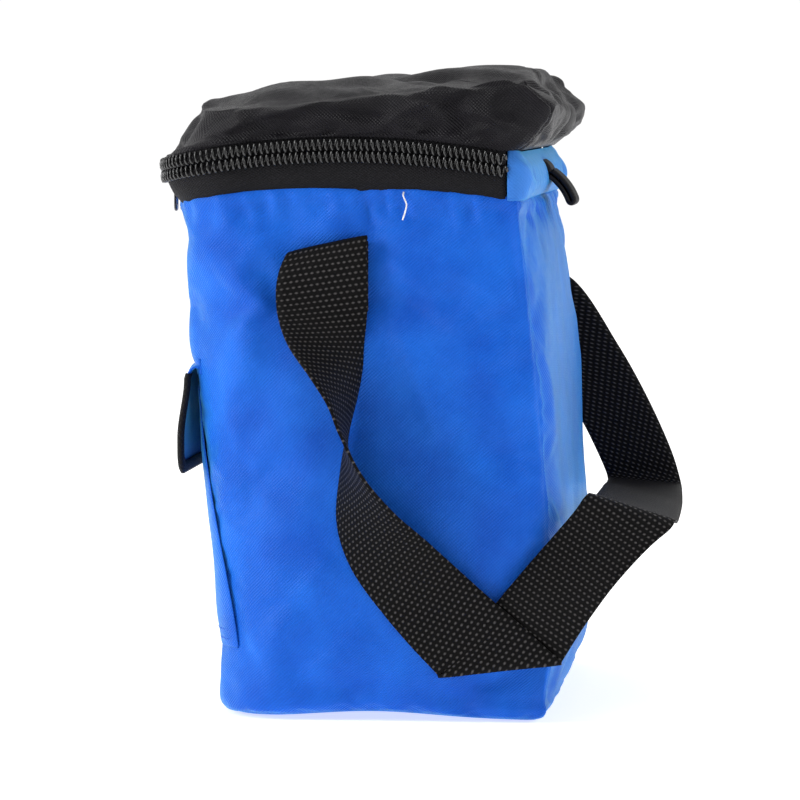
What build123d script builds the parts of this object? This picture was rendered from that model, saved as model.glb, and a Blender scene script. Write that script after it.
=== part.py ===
"""Insulated cooler bag: a soft box with a padded, zipped lid, a front pocket and a shoulder strap.

Millimetres, +Z up, +X the bag's right hand side, -Y its front. The origin is the centre of the
underside. The bag leans forward: each level of the wall is a rounded rectangle set further to -Y.
"""
from build123d import *
import math
import os

# ---------------------------------------------------------------- driving dimensions
WIDTH = 214.0  # across the bag, outside the fabric
BASE_DEPTH = 144.0  # front to back at the underside
MOUTH_DEPTH = 148.0  # front to back at the mouth
MOUTH_HEIGHT = 226.0  # level that MOUTH_DEPTH and LEAN are given at
LEAN = 19.5  # how far forward of the base the mouth stands
FRONT_RADIUS = 30.0  # the wrap goes round the front corners
REAR_RADIUS = 8.0  # the back panel is seamed at the rear corners
SEAM_SETBACK = 10.0  # from the back face to the side seams

SKIN = 1.0  # coated nylon with its backing
FOAM = 5.0  # insulating foam
LINER = 0.6  # wipe-clean liner
TAPE = 1.0  # zipper tape
COIL = 2.6  # zipper coil, out from its tape
COIL_WIDTH = 4.3  # each row of the coil
COIL_GAP = 1.8  # between the two rows
BINDING_DROP = 12.0  # mouth binding, down the inside
SEW_LAP = 2.0  # zipper tape lapped over the wall
ZIP_FLARE = 4.5  # how far the zipper stands out in front of the wall, like a lip
TAPE_LAP = 1.5  # upper tape inside the lid's edge

RIM_END, RIM_MID = MOUTH_HEIGHT - 6.2, MOUTH_HEIGHT + 0.5  # top of the wall, which arches along each side
COIL_END, COIL_MID = MOUTH_HEIGHT + 5.1, MOUTH_HEIGHT + 16.0  # middle of the zipper, along the same sides
ARCH_REACH = MOUTH_DEPTH / 2 + 14.0  # half the length that those heights span

MOUTH_FRONT = -LEAN - MOUTH_DEPTH / 2  # y of the front face at MOUTH_HEIGHT
MOUTH_BACK = -LEAN + MOUTH_DEPTH / 2  # y of the back face there
ZIP_STOP = MOUTH_BACK - 4.5  # how far back the zipper runs

LID_GROW = TAPE + SKIN  # lid's side walls outside the body's
LID_LIFT = 0.4  # lid's lower edge above the coil
LID_FRONT = (MOUTH_FRONT - LID_GROW - ZIP_FLARE - 1.9, MOUTH_HEIGHT + 16.5)  # top of the lid's upright front edge (y, z)
LID_FRONT_TOP = (MOUTH_FRONT + 7.5, MOUTH_HEIGHT + 38.0)
LID_CROWN = (-LEAN - 0.5, MOUTH_HEIGHT + 47.0)
LID_BACK_TOP = (MOUTH_BACK + 8.5, MOUTH_HEIGHT + 53.5)
LID_BACK_BULGE = (MOUTH_BACK + 19.0, MOUTH_HEIGHT + 36.0)
LID_BACK_FOOT = (MOUTH_BACK + 4.5, MOUTH_HEIGHT + 17.0)
LID_BACK_REACH = 4.0  # the back panel of the lid, forward of its foot
LID_OPEN = 5.0  # layers inside the lid start this far below its edge, then are cut to it
LID_SPARE = 20.0  # cutting shapes run this far past the lid

STRIP_HALF = WIDTH / 2 - 4.0
STRIP_FOOT_Z = MOUTH_HEIGHT - 3.4
STRIP_TOP_Z = MOUTH_HEIGHT + 12.2
STRIP_IN, STRIP_OUT = MOUTH_BACK - 0.9, MOUTH_BACK + 3.5  # front and outermost faces of the hinge strip
STRIP_EDGE = 3.0  # thickness of the strip at its upper and lower edges
STRIP_BELLY = 2.0  # its fullest level, below the middle

WEB_WIDTH = 38.0  # shoulder strap webbing
WEB = 1.6
STRAP_Y, STRAP_TOP = -LEAN - 9.5, MOUTH_HEIGHT - 20.4  # centre and top of each strap end
STRAP_STAND = 4.4  # strap's inner face off the side panel
LAYER_GAP = 0.4  # between two layers of folded webbing
PATCH_LENGTH = 32.0  # webbing sewn down on the side panel
FOLD_GAP = 0.3  # turn of the strap off the stitching beside it

TAB_WIDTH = 25.0  # rear tab, of folded webbing, along the back
TAB_FOLD = 1.0  # between its two layers
TAB_CENTRE = (MOUTH_BACK - 7.7, MOUTH_HEIGHT - 15.0)  # (y, z) of the arc that the tab hangs along
TAB_RADIUS = 24.0
TAB_START, TAB_END = 56.5, 20.0  # degrees up from level, at its root and at its fold
ROOT_GAP = 0.6  # the free part of the tab from its sewn root
ROOT_LOW, ROOT_HIGH = MOUTH_HEIGHT + 6.2, MOUTH_HEIGHT + 10.5  # sewn root, on the hinge strip

POCKET_HALF = WIDTH / 2 - 15.0
POCKET_FOOT, POCKET_MOUTH = 30.0, 141.0
POCKET_ROOM = 5.4
POCKET_CLOTH = 0.8
FLAP_HALF = POCKET_HALF
FLAP_SEAM_Z = POCKET_MOUTH + 8.0
FLAP_BEND = 4.0  # where the flap turns down, above the pocket mouth
FLAP_DROP = 46.0
FLAP_CLOTH = 1.4
FLAP_GAP = 0.5  # flap to pocket
SEAM_BELOW, SEAM_ABOVE = 3.0, 4.0  # turned edge under the flap's top, about its seam
BIND_WIDTH = 5.0
BIND_CLOTH = 0.5
PATCH_HALF, PATCH_HIGH, PATCH_THICK = 30.0, 16.0, 0.8
PATCH_DROP = 16.0  # fastening patches below the pocket mouth

SLIDER_LENGTH, SLIDER_HIGH = 13.0, 9.0
SLIDER_PLATE = 0.9
SLIDER_GAP = 0.5  # slider plates to coil and tape
SLIDER_LEAN = 0.6  # more room for the bag's lean over the slider's height
LIP_LEAN = ZIP_FLARE / 3  # and for the slant of the lower tape behind it
SLIDER_X = 9.0  # each parked slider's centre, from the middle
WEB_BRIDGE = 0.5  # divider between the coil rows
DIVIDER_HALF = 1.5
CROWN = 1.6  # bar that the pull hangs on
BAR_STAND = 1.6  # bar off the front plate
PULL_LENGTH, PULL_WIDTH, PULL_THICK = 17.0, 7.0, 1.4
PULL_CORNER = 2.0
EYE_WALL = 1.1
EYE_INSET = 1.0  # the eye is this much narrower than the tab at each side
PIN_CLEAR = 0.25

STITCH = 0.5
STITCH_WIDE = 1.0
BOX_INSET, BOX_INSET_TOP = 4.0, 6.0  # box stitch from the edges of the sewn webbing
ROW_HIGH = 0.8  # each stitched row along the pocket's foot
ROW_FIRST, ROW_SECOND = 2.0, 8.0  # the two rows above that foot
ROW_INSET = 2.0
OVERSIZE = 150.0  # half size of cutting blocks
FAR_DOWN, FAR_UP = (-151.0, -150.0), (400.0, 401.0)  # edges well clear of the bag


# ---------------------------------------------------------------- shared shapes
def centre_y(z):
    return -LEAN * z / MOUTH_HEIGHT


def depth_at(z):
    return BASE_DEPTH + (MOUTH_DEPTH - BASE_DEPTH) * z / MOUTH_HEIGHT


def front_y(z):
    return centre_y(z) - depth_at(z) / 2


def back_y(z):
    return centre_y(z) + depth_at(z) / 2


def arch(y, end, mid):
    """Height of an edge that arches from end to mid along the side of the bag."""
    return mid - (mid - end) * ((y - centre_y(MOUTH_HEIGHT)) / ARCH_REACH) ** 2


def prism(grow, low, high, lip=None):
    """The bag's leaning outline from low to high, grown outwards; lip moves the front out, by (z, reach)."""
    stages = lip or ((low, 0.0), (high, 0.0))
    with BuildPart() as solid:
        for z, reach in stages:
            with BuildSketch(Plane(origin=(0, centre_y(z) - reach / 2, z))) as level:
                Rectangle(WIDTH + 2 * grow, depth_at(z) + reach + 2 * grow)
                fillet(level.vertices().group_by(Axis.Y)[0], FRONT_RADIUS + grow)
                fillet(level.vertices().group_by(Axis.Y)[-1], max(REAR_RADIUS + grow, 0.5))
        loft(ruled=True)
    return solid.part


def ring(outer, inner, low, high, lip=None):
    """A wall between two outlines."""
    outside = prism(outer, low, high, lip)
    inside = prism(inner, low - 1, high + 1, lip)
    with BuildPart() as wall:
        add(outside)
        add(inside, mode=Mode.SUBTRACT)
    return wall.part


def side_band(low, high):
    """A block between two edges that arch along the sides, each given as (end, mid)."""
    middle = centre_y(MOUTH_HEIGHT)
    front, back = middle - ARCH_REACH, middle + ARCH_REACH
    with BuildPart() as band:
        with BuildSketch(Plane.YZ):
            with BuildLine():
                ThreePointArc((front, low[0]), (middle, low[1]), (back, low[0]))
                Line((back, low[0]), (back, high[0]))
                ThreePointArc((back, high[0]), (middle, high[1]), (front, high[0]))
                Line((front, high[0]), (front, low[0]))
            make_face()
        extrude(amount=OVERSIZE, both=True)
    return band.part


def block(x0, x1, y0, y1, z0, z1):
    with BuildPart() as cut:
        with BuildSketch(Plane.XY.offset(z0)):
            with Locations(((x0 + x1) / 2, (y0 + y1) / 2)):
                Rectangle(x1 - x0, y1 - y0)
        extrude(amount=z1 - z0)
    return cut.part


def seam_block(low, high):
    """Everything behind the side seams."""
    with BuildPart() as cut:
        with BuildSketch(Plane.YZ):
            with BuildLine():
                Polyline(
                    (back_y(low) - SEAM_SETBACK, low),
                    (OVERSIZE, low),
                    (OVERSIZE, high),
                    (back_y(high) - SEAM_SETBACK, high),
                    close=True,
                )
            make_face()
        extrude(amount=OVERSIZE, both=True)
    return cut.part


def common(first, *others):
    with BuildPart() as both:
        add(first)
        for other in others:
            add(other, mode=Mode.INTERSECT)
    return both.part


def cut_away(first, *others):
    with BuildPart() as rest:
        add(first)
        for other in others:
            add(other, mode=Mode.SUBTRACT)
    return rest.part


def joined(first, *others):
    with BuildPart() as whole:
        add(first)
        for other in others:
            add(other)
    return whole.part


def slab(outline, half, centre=0.0):
    """A profile in the YZ plane, carried across the bag."""
    with BuildPart() as body:
        with BuildSketch(Plane.YZ.offset(centre - half)):
            with BuildLine():
                Polyline(*outline, close=True)
            make_face()
        extrude(amount=2 * half)
    return body.part


def save(part, name):
    part.label = name
    export_step(part, f"parts/{name}.step")


def across(lowest, highest, front, back):
    """Cutting block given by height and depth only."""
    return block(-OVERSIZE, OVERSIZE, front, back, lowest, highest)


# ---------------------------------------------------------------- walls, foam and liner
RIM = (RIM_END, RIM_MID)
TALL = MOUTH_HEIGHT + 6.0  # walls are made this high, then cut to the rim
below_rim = side_band(FAR_DOWN, RIM)
behind_seam = seam_block(-SKIN, TALL + SKIN)


def wall_pair(outer, inner, low):
    """A wall cut to the rim, as the wrap (front and sides) and the back."""
    whole = common(ring(outer, inner, low, TALL), below_rim)
    return cut_away(whole, behind_seam), common(whole, behind_seam)


def make_walls():
    side_wrap, back_panel = wall_pair(0, -SKIN, SKIN)
    foam_wrap, foam_back = wall_pair(-SKIN, -SKIN - FOAM, SKIN)
    inside = -SKIN - FOAM
    save(side_wrap, "side_wrap")
    save(back_panel, "back_panel")
    save(prism(0, 0, SKIN), "base_panel")
    save(foam_wrap, "foam_wrap")
    save(foam_back, "foam_back")
    save(prism(inside, SKIN, SKIN + FOAM), "foam_base")

    floor = SKIN + FOAM
    tub_wall = common(ring(inside, inside - LINER, floor, TALL), below_rim)
    save(joined(tub_wall, prism(inside, floor, floor + LINER)), "liner_tub")

    bound = inside - LINER
    low_edge = (RIM_END - BINDING_DROP, RIM_MID - BINDING_DROP)
    binding = common(ring(bound, bound - SKIN, floor + LINER, TALL), side_band(low_edge, RIM))
    save(binding, "mouth_binding")


# ---------------------------------------------------------------- zipper
HALF_GAP = COIL_GAP / 2
zip_run = across(0, 2 * MOUTH_HEIGHT, -OVERSIZE, ZIP_STOP)
ZIP_LOW, ZIP_HIGH = RIM_END - SEW_LAP - 0.5, COIL_MID + 20.0
ZIP_FRONT_Z = arch(MOUTH_FRONT, COIL_END, COIL_MID)  # middle of the zipper across the front
LIP_STAGES = ((ZIP_LOW, 0.0), (ZIP_FRONT_Z, ZIP_FLARE), (ZIP_HIGH, ZIP_FLARE))


def zip_ring(outer, inner):
    """The zipper's outline, which stands out from the wall across the front."""
    return ring(outer, inner, ZIP_LOW, ZIP_HIGH, LIP_STAGES)


def zip_band(outer, inner, low, high):
    """A strip round the front and sides between two arched edges, stopped short of the back."""
    return common(zip_ring(outer, inner), side_band(low, high), zip_run)


def level(offset):
    """The zipper's middle line, moved up by offset."""
    return (COIL_END + offset, COIL_MID + offset)


def make_zipper():
    tape_foot = (RIM_END - SEW_LAP, RIM_MID - SEW_LAP)
    save(zip_band(TAPE, 0, tape_foot, level(-HALF_GAP)), "zip_tape_lower")
    coil = TAPE + COIL
    save(zip_band(coil, TAPE, level(-HALF_GAP - COIL_WIDTH), level(-HALF_GAP)), "zip_coil_lower")
    save(zip_band(TAPE, 0, level(HALF_GAP), level(HALF_GAP + COIL_WIDTH + TAPE_LAP)), "zip_tape_upper")
    save(zip_band(coil, TAPE, level(HALF_GAP), level(HALF_GAP + COIL_WIDTH)), "zip_coil_upper")


def make_slider(side, name):
    """Two plates with a divider between the coil rows, and a bar for the pull."""
    middle = arch(front_y(COIL_END) - ZIP_FLARE - TAPE - COIL / 4, COIL_END, COIL_MID)
    coil_face = front_y(middle) - ZIP_FLARE - TAPE - COIL
    tape_back = front_y(middle) - ZIP_FLARE
    x0 = side * SLIDER_X - SLIDER_LENGTH / 2
    x1 = x0 + SLIDER_LENGTH
    front_in = coil_face - SLIDER_GAP - SLIDER_LEAN
    back_in = tape_back + SLIDER_GAP + SLIDER_LEAN + LIP_LEAN
    low, high = middle - SLIDER_HIGH / 2, middle + SLIDER_HIGH / 2
    front_plate = block(x0, x1, front_in - SLIDER_PLATE, front_in, low, high)
    back_plate = block(x0, x1, back_in, back_in + SLIDER_PLATE, low, high)
    inner_end = x1 if side < 0 else x0
    divider = block(
        inner_end - DIVIDER_HALF, inner_end + DIVIDER_HALF, front_in - SLIDER_PLATE, back_in + SLIDER_PLATE,
        middle - WEB_BRIDGE / 2, middle + WEB_BRIDGE / 2,
    )
    bar_y = front_in - SLIDER_PLATE - BAR_STAND - CROWN / 2
    ends = [
        block(x, x + CROWN, bar_y - CROWN / 2, front_in - SLIDER_PLATE, middle - CROWN, middle + CROWN)
        for x in (x0, x1 - CROWN)
    ]
    with BuildPart() as bar:
        with BuildSketch(Plane.YZ.offset(x0)):
            with Locations((bar_y, middle)):
                Circle(CROWN / 2)
        extrude(amount=SLIDER_LENGTH)
    save(joined(front_plate, back_plate, divider, *ends, bar.part), name)
    return bar_y, middle


def make_pull(side, bar_y, bar_z, name):
    """A flat tab with an eye round the slider's bar."""
    x = side * SLIDER_X
    eye = CROWN / 2 + PIN_CLEAR
    with BuildPart() as pull:
        with BuildSketch(Plane.XZ.offset(-bar_y + PULL_THICK / 2)):
            with Locations((x, bar_z - PULL_LENGTH / 2 - eye - EYE_INSET)):
                RectangleRounded(PULL_WIDTH, PULL_LENGTH, PULL_CORNER)
        extrude(amount=-PULL_THICK)
        with BuildSketch(Plane.YZ.offset(x - PULL_WIDTH / 2 + EYE_INSET)):
            with Locations((bar_y, bar_z)):
                Circle(eye + EYE_WALL)
                Circle(eye, mode=Mode.SUBTRACT)
        extrude(amount=PULL_WIDTH - 2 * EYE_INSET)
    save(pull.part, name)


# ---------------------------------------------------------------- lid
def lid_block(shrink, below):
    """The lid's outside, shrunk evenly; below carries the open underside further down."""
    grow = LID_GROW - shrink
    foot = arch(0, *level(HALF_GAP + COIL_WIDTH + LID_LIFT)) - below
    plan_low, plan_high = COIL_END - 2 * LID_SPARE, LID_BACK_TOP[1] + LID_SPARE
    with BuildPart() as plan:
        with BuildSketch(Plane.XY.offset(plan_low)) as outline:
            back = LID_BACK_BULGE[0] + LID_SPARE
            front = LID_FRONT[0]
            with Locations((0, (back + front) / 2)):
                Rectangle(WIDTH + 2 * grow, back - front - 2 * shrink)
            fillet(outline.vertices().group_by(Axis.Y)[0], FRONT_RADIUS + grow)
        extrude(amount=plan_high - plan_low)
    with BuildPart() as side:
        with BuildSketch(Plane.YZ):
            with BuildLine():
                Polyline(
                    (LID_FRONT[0], foot - LID_SPARE),
                    LID_FRONT,
                    LID_FRONT_TOP,
                    LID_CROWN,
                    LID_BACK_TOP,
                    LID_BACK_BULGE,
                    LID_BACK_FOOT,
                    (LID_BACK_FOOT[0], foot - LID_SPARE),
                    close=True,
                )
            make_face()
            if shrink:
                offset(amount=-shrink, kind=Kind.INTERSECTION, mode=Mode.REPLACE)
        extrude(amount=OVERSIZE, both=True)
    above_foot = side_band(level(HALF_GAP + COIL_WIDTH + LID_LIFT - below), FAR_UP)
    return common(plan.part, side.part, above_foot)


def top_slab(depth_below, thick):
    """The layer of the lid that lies depth_below under its top face."""
    points = [LID_FRONT_TOP, LID_CROWN, LID_BACK_TOP]
    ends = [(-OVERSIZE, LID_FRONT_TOP[1] - 8.0)] + points + [(OVERSIZE, LID_BACK_TOP[1] + 6.0)]
    upper = [(y, z - depth_below) for y, z in ends]
    lower = [(y, z - depth_below - thick) for y, z in reversed(ends)]
    return slab(upper + lower, OVERSIZE)


def make_lid():
    outside, skin_in = lid_block(0, 0), lid_block(SKIN, LID_OPEN)
    foam_in = lid_block(SKIN + FOAM, LID_OPEN)
    liner_in = lid_block(SKIN + FOAM + LINER, LID_OPEN)
    shell = cut_away(outside, skin_in)
    top_layer = top_slab(-LID_SPARE, LID_SPARE + SKIN)
    rear = across(0, 2 * MOUTH_HEIGHT, LID_BACK_FOOT[0] - LID_BACK_REACH, OVERSIZE)
    save(common(shell, top_layer), "lid_top")
    sides = cut_away(shell, top_layer)
    save(cut_away(sides, rear), "lid_band")
    save(common(sides, rear), "lid_back")

    tape_room = zip_ring(TAPE, -SKIN)
    tape_zone = side_band(level(0), level(HALF_GAP + COIL_WIDTH + TAPE_LAP))
    keep_out = common(tape_room, tape_zone)
    foot_cut = side_band(level(HALF_GAP + COIL_WIDTH + LID_LIFT), FAR_UP)
    foam = common(cut_away(skin_in, foam_in), foot_cut)
    under_top = top_slab(-LID_SPARE, LID_SPARE + SKIN + FOAM)
    foam_top = common(foam, under_top)
    foam_band = cut_away(foam, under_top, keep_out)
    save(foam_top, "lid_foam_top")
    save(foam_band, "lid_foam_band")
    save(common(cut_away(foam_in, liner_in), foot_cut), "lid_liner")


def strip_block():
    """The gathered band of cloth across the back that the lid folds on."""
    edge = STRIP_IN + STRIP_EDGE
    belly = (STRIP_FOOT_Z + STRIP_TOP_Z) / 2 - STRIP_BELLY
    with BuildPart() as strip:
        with BuildSketch(Plane.YZ):
            with BuildLine():
                Line((STRIP_IN, STRIP_FOOT_Z), (edge, STRIP_FOOT_Z))
                ThreePointArc((edge, STRIP_FOOT_Z), (STRIP_OUT, belly), (edge, STRIP_TOP_Z))
                Line((edge, STRIP_TOP_Z), (STRIP_IN, STRIP_TOP_Z))
                Line((STRIP_IN, STRIP_TOP_Z), (STRIP_IN, STRIP_FOOT_Z))
            make_face()
        extrude(amount=STRIP_HALF, both=True)
    return strip.part


# ---------------------------------------------------------------- rear tab
def tab_point(radius, degrees):
    angle = math.radians(degrees)
    return (TAB_CENTRE[0] + radius * math.cos(angle), TAB_CENTRE[1] + radius * math.sin(angle))


def tab_band(half):
    """A band along the tab's arc, half as thick on each side of it, with a round end at the fold."""
    halfway = (TAB_START + TAB_END) / 2
    far, near = TAB_RADIUS + half, TAB_RADIUS - half
    tip_turn = math.degrees(half / TAB_RADIUS)
    with BuildSketch(Plane.YZ.offset(-TAB_WIDTH / 2)) as band:
        with BuildLine():
            ThreePointArc(tab_point(far, TAB_START), tab_point(far, halfway), tab_point(far, TAB_END))
            ThreePointArc(
                tab_point(far, TAB_END), tab_point(TAB_RADIUS, TAB_END - tip_turn), tab_point(near, TAB_END)
            )
            ThreePointArc(tab_point(near, TAB_END), tab_point(near, halfway), tab_point(near, TAB_START))
            Line(tab_point(near, TAB_START), tab_point(far, TAB_START))
        make_face()
    with BuildPart() as solid:
        add(extrude(band.sketch, amount=TAB_WIDTH))
    return solid.part


def make_tab():
    """Webbing folded double, which hangs from a root sewn on the hinge strip."""
    save(cut_away(tab_band(WEB + TAB_FOLD / 2), tab_band(TAB_FOLD / 2)), "rear_tab")
    half = TAB_WIDTH / 2
    root_front = STRIP_IN + STRIP_EDGE / 2
    root_back = tab_point(TAB_RADIUS, TAB_START)[0]
    root = block(-half, half, root_front, root_back, ROOT_LOW + ROOT_GAP, ROOT_HIGH)
    save(cut_away(root, strip_block()), "tab_root")


# ---------------------------------------------------------------- shoulder strap
# The near leg hangs from the right side, makes half a twist, and is folded in a V at the bottom.
# Each station gives the two selvedges of the webbing, as (off the side panel, y, z), for a strap
# that hangs from DRAWN_TOP. All heights are scaled to STRAP_TOP.
DRAWN_TOP = 205.6
LEG_STATIONS = [
    ((5.2, -48, 204), (5.2, -10, 204)),
    ((6.0, -48, 182), (6.0, -10, 182)),
    ((29.0, -42, 161), (6.0, -12, 161)),
    ((40.0, -28, 145), (5.8, -12, 145)),
    ((43.5, -18, 126), (5.8, -18, 126)),
    ((41.0, -8, 108), (6.0, -21, 106)),
    ((32.0, 3, 92), (6.6, -22, 84)),
    ((19.0, 17, 78), (7.0, -15, 64)),
    ((10.0, 27, 67), (7.2, 1, 42)),
    ((7.2, 44, 51), (7.2, 20, 21.5)),
]


def drawn(points):
    """Points of the strap (y, z), with their heights scaled to the strap's top."""
    return [(y, z * STRAP_TOP / DRAWN_TOP) for y, z in points]


# the V at the bottom: its crease and its inner corner
FOLD_FRONT, FOLD_BACK, FOLD_INNER = drawn([(20, 21.5), (72, 27.5), (43.5, 51)])
RIDGE_FRONT, RIDGE_BACK = drawn([(82, 97), (118, 85.5)])  # where it turns to pass behind the bag
KINK_FRONT, KINK_BACK = drawn([(79, 86.5), (113, 84.5)])  # where it turns up on the left side
UPPER_EDGE = drawn([(-48, 190), (0, 190), (40, 187), (63, 178), (84, 148), (98, 122), (109, 98), (113, 84.5)])
LOWER_EDGE = drawn([(79, 86.5), (77, 92), (66, 114), (54, 131), (37, 146), (15, 152), (-10, 152)])
TURN_FRONT, TURN_BACK = UPPER_EDGE[0], LOWER_EDGE[-1]  # crease of the turn on the left side
TURN_SLANT = 0.7  # share of the webbing's thickness that the turn's corner reaches along each axis


def selvedges(index):
    """Both edges of the webbing at one station."""
    scale = STRAP_TOP / DRAWN_TOP
    return [Vector(WIDTH / 2 + off, y, z * scale) for off, y, z in LEG_STATIONS[index]]


def leg_section(index):
    first, second = selvedges(index)
    before = selvedges(max(index - 1, 0))
    after = selvedges(min(index + 1, len(LEG_STATIONS) - 1))
    run = after[0] + after[1] - before[0] - before[1]
    web_dir = (second - first).normalized()
    run = run - web_dir * run.dot(web_dir)
    return Plane(origin=(first + second) * 0.5, x_dir=web_dir, z_dir=run)


def web_sheet(outline, x0, x1):
    """Flat webbing parallel to the side panels."""
    return slab(outline, (x1 - x0) / 2, (x0 + x1) / 2)


def make_strap():
    side = WIDTH / 2
    inner0 = side + STRAP_STAND
    inner1 = inner0 + WEB
    outer0 = inner1 + LAYER_GAP
    outer1 = outer0 + WEB
    front, back = STRAP_Y - WEB_WIDTH / 2, STRAP_Y + WEB_WIDTH / 2
    patch_out = side + WEB
    turn_in = patch_out + STITCH + FOLD_GAP

    with BuildPart() as leg:
        for index in range(len(LEG_STATIONS)):
            with BuildSketch(leg_section(index)):
                Rectangle(WEB_WIDTH, WEB)
        loft(ruled=True)
    top_right = block(turn_in, inner1, front, back, STRAP_TOP - WEB, STRAP_TOP)
    v_front = web_sheet([FOLD_FRONT, FOLD_INNER, FOLD_BACK], outer0, outer1)
    v_back = web_sheet([FOLD_FRONT, FOLD_BACK, RIDGE_BACK, RIDGE_FRONT, FOLD_INNER], inner0, inner1)
    crease_drop = [(y, z - WEB) for y, z in (FOLD_BACK, FOLD_FRONT)]
    crease = web_sheet([FOLD_FRONT, FOLD_BACK] + crease_drop, inner0, outer1)

    far_skin = [-x for x in (outer1, outer0, inner1, inner0)]
    ridge_dir = Vector(0, RIDGE_BACK[0] - RIDGE_FRONT[0], RIDGE_BACK[1] - RIDGE_FRONT[1])
    kink_dir = Vector(0, KINK_BACK[0] - KINK_FRONT[0], KINK_BACK[1] - KINK_FRONT[1])
    with BuildPart() as behind:
        for x, start, direction in ((inner1, RIDGE_FRONT, ridge_dir), (far_skin[0], KINK_FRONT, kink_dir)):
            middle = Vector(x, *start) + direction * 0.5
            with BuildSketch(Plane(origin=middle, x_dir=direction, z_dir=(1, 0, 0))):
                Rectangle(direction.length, WEB)
        loft(ruled=True)
    with BuildPart() as left_run:
        with BuildSketch(Plane.YZ.offset(far_skin[0])):
            with BuildLine():
                Polyline(*UPPER_EDGE)
                Polyline(UPPER_EDGE[-1], *LOWER_EDGE)
                Line(LOWER_EDGE[-1], UPPER_EDGE[0])
            make_face()
        extrude(amount=WEB)
    left_hang = web_sheet(
        [(front, STRAP_TOP), (back, STRAP_TOP), TURN_BACK, TURN_FRONT], far_skin[2], far_skin[3]
    )
    slant = WEB * TURN_SLANT
    turn_drop = [(y - slant, z - slant) for y, z in (TURN_BACK, TURN_FRONT)]
    left_turn = web_sheet([TURN_FRONT, TURN_BACK] + turn_drop, far_skin[0], far_skin[3])
    top_left = block(-inner1, -turn_in, front, back, STRAP_TOP - WEB, STRAP_TOP)

    right_half = joined(leg.part, top_right, v_front, crease, v_back)
    strap = joined(right_half, behind.part, left_run.part, left_turn, left_hang, top_left)
    save(strap, "shoulder_strap")

    for name, sign in (("strap_anchor_right", 1), ("strap_anchor_left", -1)):
        x0, x1 = sorted((sign * side, sign * patch_out))
        save(block(x0, x1, front, back, STRAP_TOP - PATCH_LENGTH, STRAP_TOP - WEB / 2), name)


# ---------------------------------------------------------------- front pocket and its flap
def make_pocket():
    outer = POCKET_ROOM + POCKET_CLOTH
    zone = block(-POCKET_HALF, POCKET_HALF, -OVERSIZE, 0, POCKET_FOOT, POCKET_MOUTH)
    hollow = block(
        -POCKET_HALF + POCKET_CLOTH, POCKET_HALF - POCKET_CLOTH, -OVERSIZE, 0,
        POCKET_FOOT + POCKET_CLOTH, POCKET_MOUTH + 1,
    )
    full = common(ring(outer, 0, SKIN, MOUTH_HEIGHT), zone)
    room = common(ring(POCKET_ROOM, 0, SKIN, MOUTH_HEIGHT), hollow)
    save(cut_away(full, room), "pocket_panel")

    patch_top = POCKET_MOUTH - PATCH_DROP
    patch = block(-PATCH_HALF, PATCH_HALF, -OVERSIZE, 0, patch_top - PATCH_HIGH, patch_top)
    save(common(ring(outer + PATCH_THICK, outer, SKIN, MOUTH_HEIGHT), patch), "pocket_loop_patch")
    return patch_top


def make_flap(patch_top):
    pocket_face = front_y(POCKET_MOUTH) - POCKET_ROOM - POCKET_CLOTH
    inner = pocket_face - FLAP_GAP
    outer = inner - FLAP_CLOTH
    hinge_y = front_y(FLAP_SEAM_Z) - SKIN - FLAP_GAP
    bend_z = POCKET_MOUTH + FLAP_BEND
    foot = FLAP_SEAM_Z - FLAP_DROP
    edge = BIND_WIDTH / 2

    def flap_sheet(half, low, extra):
        return slab(
            [
                (hinge_y, FLAP_SEAM_Z - FLAP_CLOTH - extra),
                (hinge_y, FLAP_SEAM_Z + extra),
                (outer - extra, bend_z + FLAP_CLOTH),
                (outer - extra, low),
                (inner + extra, low),
                (inner + extra, bend_z),
            ],
            half,
        )

    panel = flap_sheet(FLAP_HALF - edge / 2, foot + edge / 2, 0)
    save(panel, "pocket_flap")
    frame = flap_sheet(FLAP_HALF, foot, BIND_CLOTH)
    middle = across(foot + BIND_WIDTH, 2 * MOUTH_HEIGHT, -OVERSIZE, OVERSIZE)
    middle = common(middle, block(
        -FLAP_HALF + BIND_WIDTH, FLAP_HALF - BIND_WIDTH, -OVERSIZE, OVERSIZE, 0, 2 * MOUTH_HEIGHT
    ))
    above = across(bend_z - 1, 2 * MOUTH_HEIGHT, -OVERSIZE, OVERSIZE)
    save(cut_away(frame, panel, middle, above), "flap_binding")
    hook_y = inner + PATCH_THICK
    save(block(-PATCH_HALF, PATCH_HALF, inner, hook_y, patch_top - PATCH_HIGH, patch_top), "flap_hook_patch")
    seam = common(
        ring(SKIN, 0, SKIN, MOUTH_HEIGHT),
        block(-FLAP_HALF, FLAP_HALF, -OVERSIZE, 0, FLAP_SEAM_Z - SEAM_BELOW, FLAP_SEAM_Z + SEAM_ABOVE),
    )
    save(seam, "flap_seam")


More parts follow.
